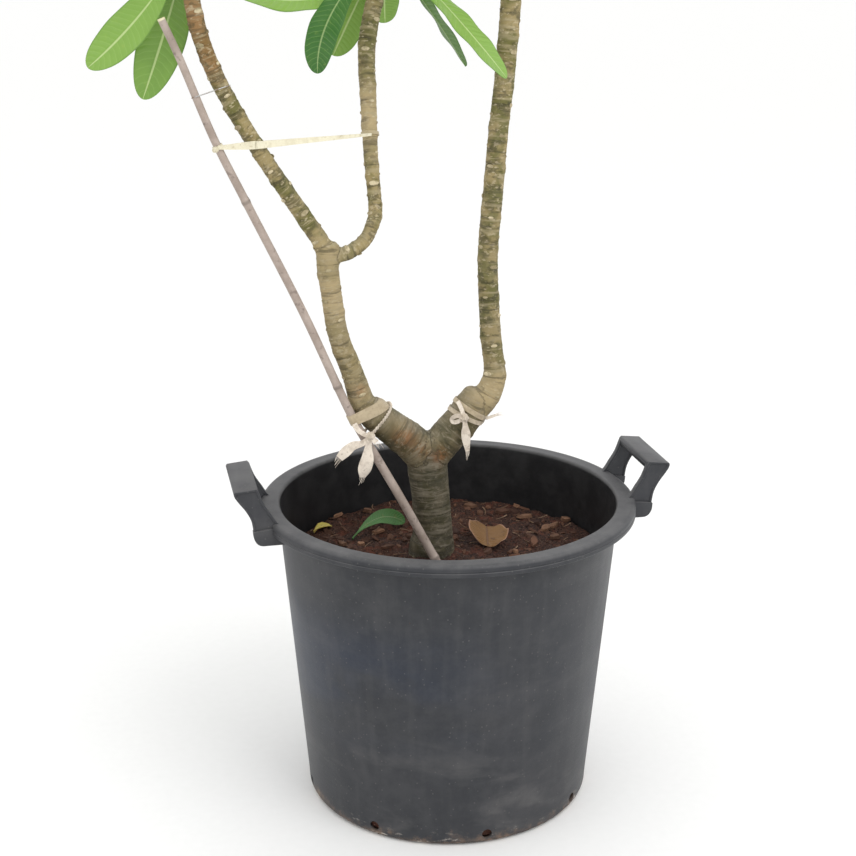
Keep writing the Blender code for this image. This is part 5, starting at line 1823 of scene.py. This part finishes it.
beigeCloth = makeClothMaterial("beigeTieCloth", (0.850, 0.760, 0.650), (0.520, 0.430, 0.290),
                               (0.330, 0.250, 0.170), 0.45)
creamCloth = makeClothMaterial("creamTieCloth", (0.860, 0.810, 0.620), (0.460, 0.380, 0.240),
                               (0.500, 0.420, 0.260), 0.25)
barkTree = surfaceTree(trunk)
caneTree = surfaceTree(caneBody)

knotLeft = (-0.0980, -0.0222, 0.4620)
tieLeft = tieObject(
    "clothTieLeft",
    [
        *wrapCord((-0.0830, 0.0060, 0.4756), (-0.745, 0, 0.667), (barkTree, caneTree), 0.0011, 17),
        wrapStrip((-0.0965, 0.0060, 0.4870), (-0.38, 0, 0.925), 0.013, (barkTree, caneTree), seed=2),
        tailStrip([((-0.1150, -0.0145, 0.4760), 0.006), ((-0.1110, -0.0200, 0.4690), 0.006),
                   ((-0.1000, -0.0235, 0.4625), 0.005)], (0.1, -1, 0.2), 1.0),
        tailStrip([((-0.0990, -0.0240, 0.4610), 0.005), ((-0.1080, -0.0245, 0.4550), 0.007),
                   ((-0.1190, -0.0260, 0.4530), 0.010), ((-0.1280, -0.0260, 0.4460), 0.012),
                   ((-0.1350, -0.0250, 0.4390), 0.009)], (0.1, -1, 0.4), 2.0),
        tailStrip([((-0.0985, -0.0240, 0.4600), 0.006), ((-0.1010, -0.0255, 0.4500), 0.009),
                   ((-0.1030, -0.0290, 0.4360), 0.015), ((-0.1070, -0.0300, 0.4240), 0.015),
                   ((-0.1090, -0.0290, 0.4150), 0.007)], (0.1, -1, 0.2), 3.0),
        tailStrip([((-0.0970, -0.0240, 0.4625), 0.005), ((-0.0915, -0.0260, 0.4555), 0.007)],
                  (0.1, -1, 0.3), 4.0),
    ],
    [knotShape(knotLeft, (0.0055, 0.0050, 0.0055), 0.5)],
    beigeCloth,
    frayEnds((-0.1350, -0.0250, 0.4390), (0.6, 0, -0.8), (-0.7, 0, -0.7), 0.007)
    + frayEnds((-0.1088, -0.0290, 0.4155), (1, 0, 0), (-0.2, 0, -1), 0.006)
    + frayEnds((-0.0915, -0.0260, 0.4555), (0.7, 0, 0.6), (0.6, 0, -0.7), 0.005),
)

knotRight = (0.0140, -0.0220, 0.4770)
tieRight = tieObject(
    "clothTieRight",
    [
        wrapStrip((0.0285, 0.0040, 0.4800), (0.555, 0, 0.832), 0.006, (barkTree,), 5),
        wrapStrip((0.0240, 0.0040, 0.4720), (0.45, 0, 0.893), 0.005, (barkTree,), 6, wear=0.7),
        tailStrip([((0.0115, -0.0222, 0.4775), 0.004), ((0.0060, -0.0245, 0.4812), 0.005),
                   ((0.0005, -0.0250, 0.4800), 0.005), ((-0.0015, -0.0240, 0.4765), 0.005),
                   ((0.0010, -0.0235, 0.4735), 0.005), ((0.0065, -0.0232, 0.4740), 0.005),
                   ((0.0120, -0.0222, 0.4765), 0.004)], (0.05, -1, 0.1), 7.0),
        tailStrip([((0.0140, -0.0215, 0.4790), 0.005), ((0.0122, -0.0160, 0.4868), 0.005),
                   ((0.0101, -0.0060, 0.4932), 0.005)], (-0.3, -1, 0.3), 1.4),
        tailStrip([((0.0140, -0.0235, 0.4780), 0.005), ((0.0145, -0.0250, 0.4700), 0.006),
                   ((0.0150, -0.0270, 0.4580), 0.011), ((0.0170, -0.0280, 0.4380), 0.005)],
                  (0, -1, 0.1), 2.4),
        tailStrip([((0.0440, -0.0080, 0.4706), 0.004), ((0.0560, -0.0095, 0.4745), 0.003)],
                  (0, -1, 0.3), 3.4),
    ],
    [knotShape(knotRight, (0.0052, 0.0052, 0.0052), 1.5)],
    beigeCloth,
    frayEnds((0.0170, -0.0280, 0.4385), (1, 0, 0), (0.1, 0, -1), 0.004)
    + frayEnds((0.0560, -0.0095, 0.4745), (0, 0, 1), (1, 0, 0.3), 0.003),
)

bandCane, bandBranch = (-0.2598, -0.0158, 0.7990), (-0.0825, 0.0450, 0.8020)
tieBand = tieObject(
    "clothTieBand",
    [
        tailStrip([((bandCane[0] - 0.0010, bandCane[1] - 0.0064, bandCane[2]), 0.004),
                   ((-0.2320, -0.0182, 0.7998), 0.008), ((-0.2190, -0.0162, 0.8002), 0.009),
                   ((-0.2060, -0.0130, 0.8004), 0.008),
                   ((bandBranch[0] - 0.0005, bandBranch[1] - 0.0111, bandBranch[2] + 0.0005), 0.003)],
                  (0.2, -1, 0), 0.0),
        wrapStrip(bandCane, (-0.41, 0, 0.91), 0.004, (caneTree,), 8, 48, wear=0.2),
        wrapStrip(bandBranch, (0.01, 0.30, 0.95), 0.004, (barkTree,), 9, 60),
    ],
    [knotShape((bandCane[0] - 0.0035, bandCane[1] - 0.0084, bandCane[2] - 0.002),
               (0.0034, 0.0028, 0.0034), 2.5)],
    creamCloth, [],
)
for item, node in ((tieLeft, "tie_left"), (tieRight, "tie_right"), (tieBand, "tie_band")):
    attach(item, "root")
    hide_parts(node)
    print(item.name + ":", len(item.data.polygons), "faces")


def makeWireMaterial():
    material, shader, spot = newMaterial("dullWire", {"Metallic": 0.7})
    rust = softMask(spot, 160.0, 0.50, 0.66)
    grain = grainOf(spot, 1500.0, 600.0, 0.15)
    colour = blendColour(rust, (0.480, 0.475, 0.465), (0.300, 0.190, 0.120))
    finishMaterial(shader, colour, remap(rust, 0, 1, 0.40, 0.75), grain["Height"], 0.4, 0.0003)
    return material


# the wire draws cane and stem together
wire = {"middle": (-0.2640, -0.0080, 0.8570), "normal": (-0.30, 0.12, 0.94), "radius": 0.00055, "steps": 72}
across = unit(wire["normal"])
outs, far = tightLoop(np.array(wire["middle"]), across, wire["steps"], (barkTree, caneTree))
verts = []
for out, reach in zip(outs, far):
    centre = np.array(wire["middle"]) + out * (reach + wire["radius"])
    for turn in 2 * math.pi * np.arange(8) / 8:
        verts.append(tuple(centre + wire["radius"] * (math.cos(turn) * out + math.sin(turn) * across)))
faces = ringFaces(wire["steps"], 8, closedAlong=True)
wireLoop = fixNormals(makeObject("wireLoop", verts, faces, makeWireMaterial()))
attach(wireLoop, "root")
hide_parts("tie_wire")
print("ties are wound")
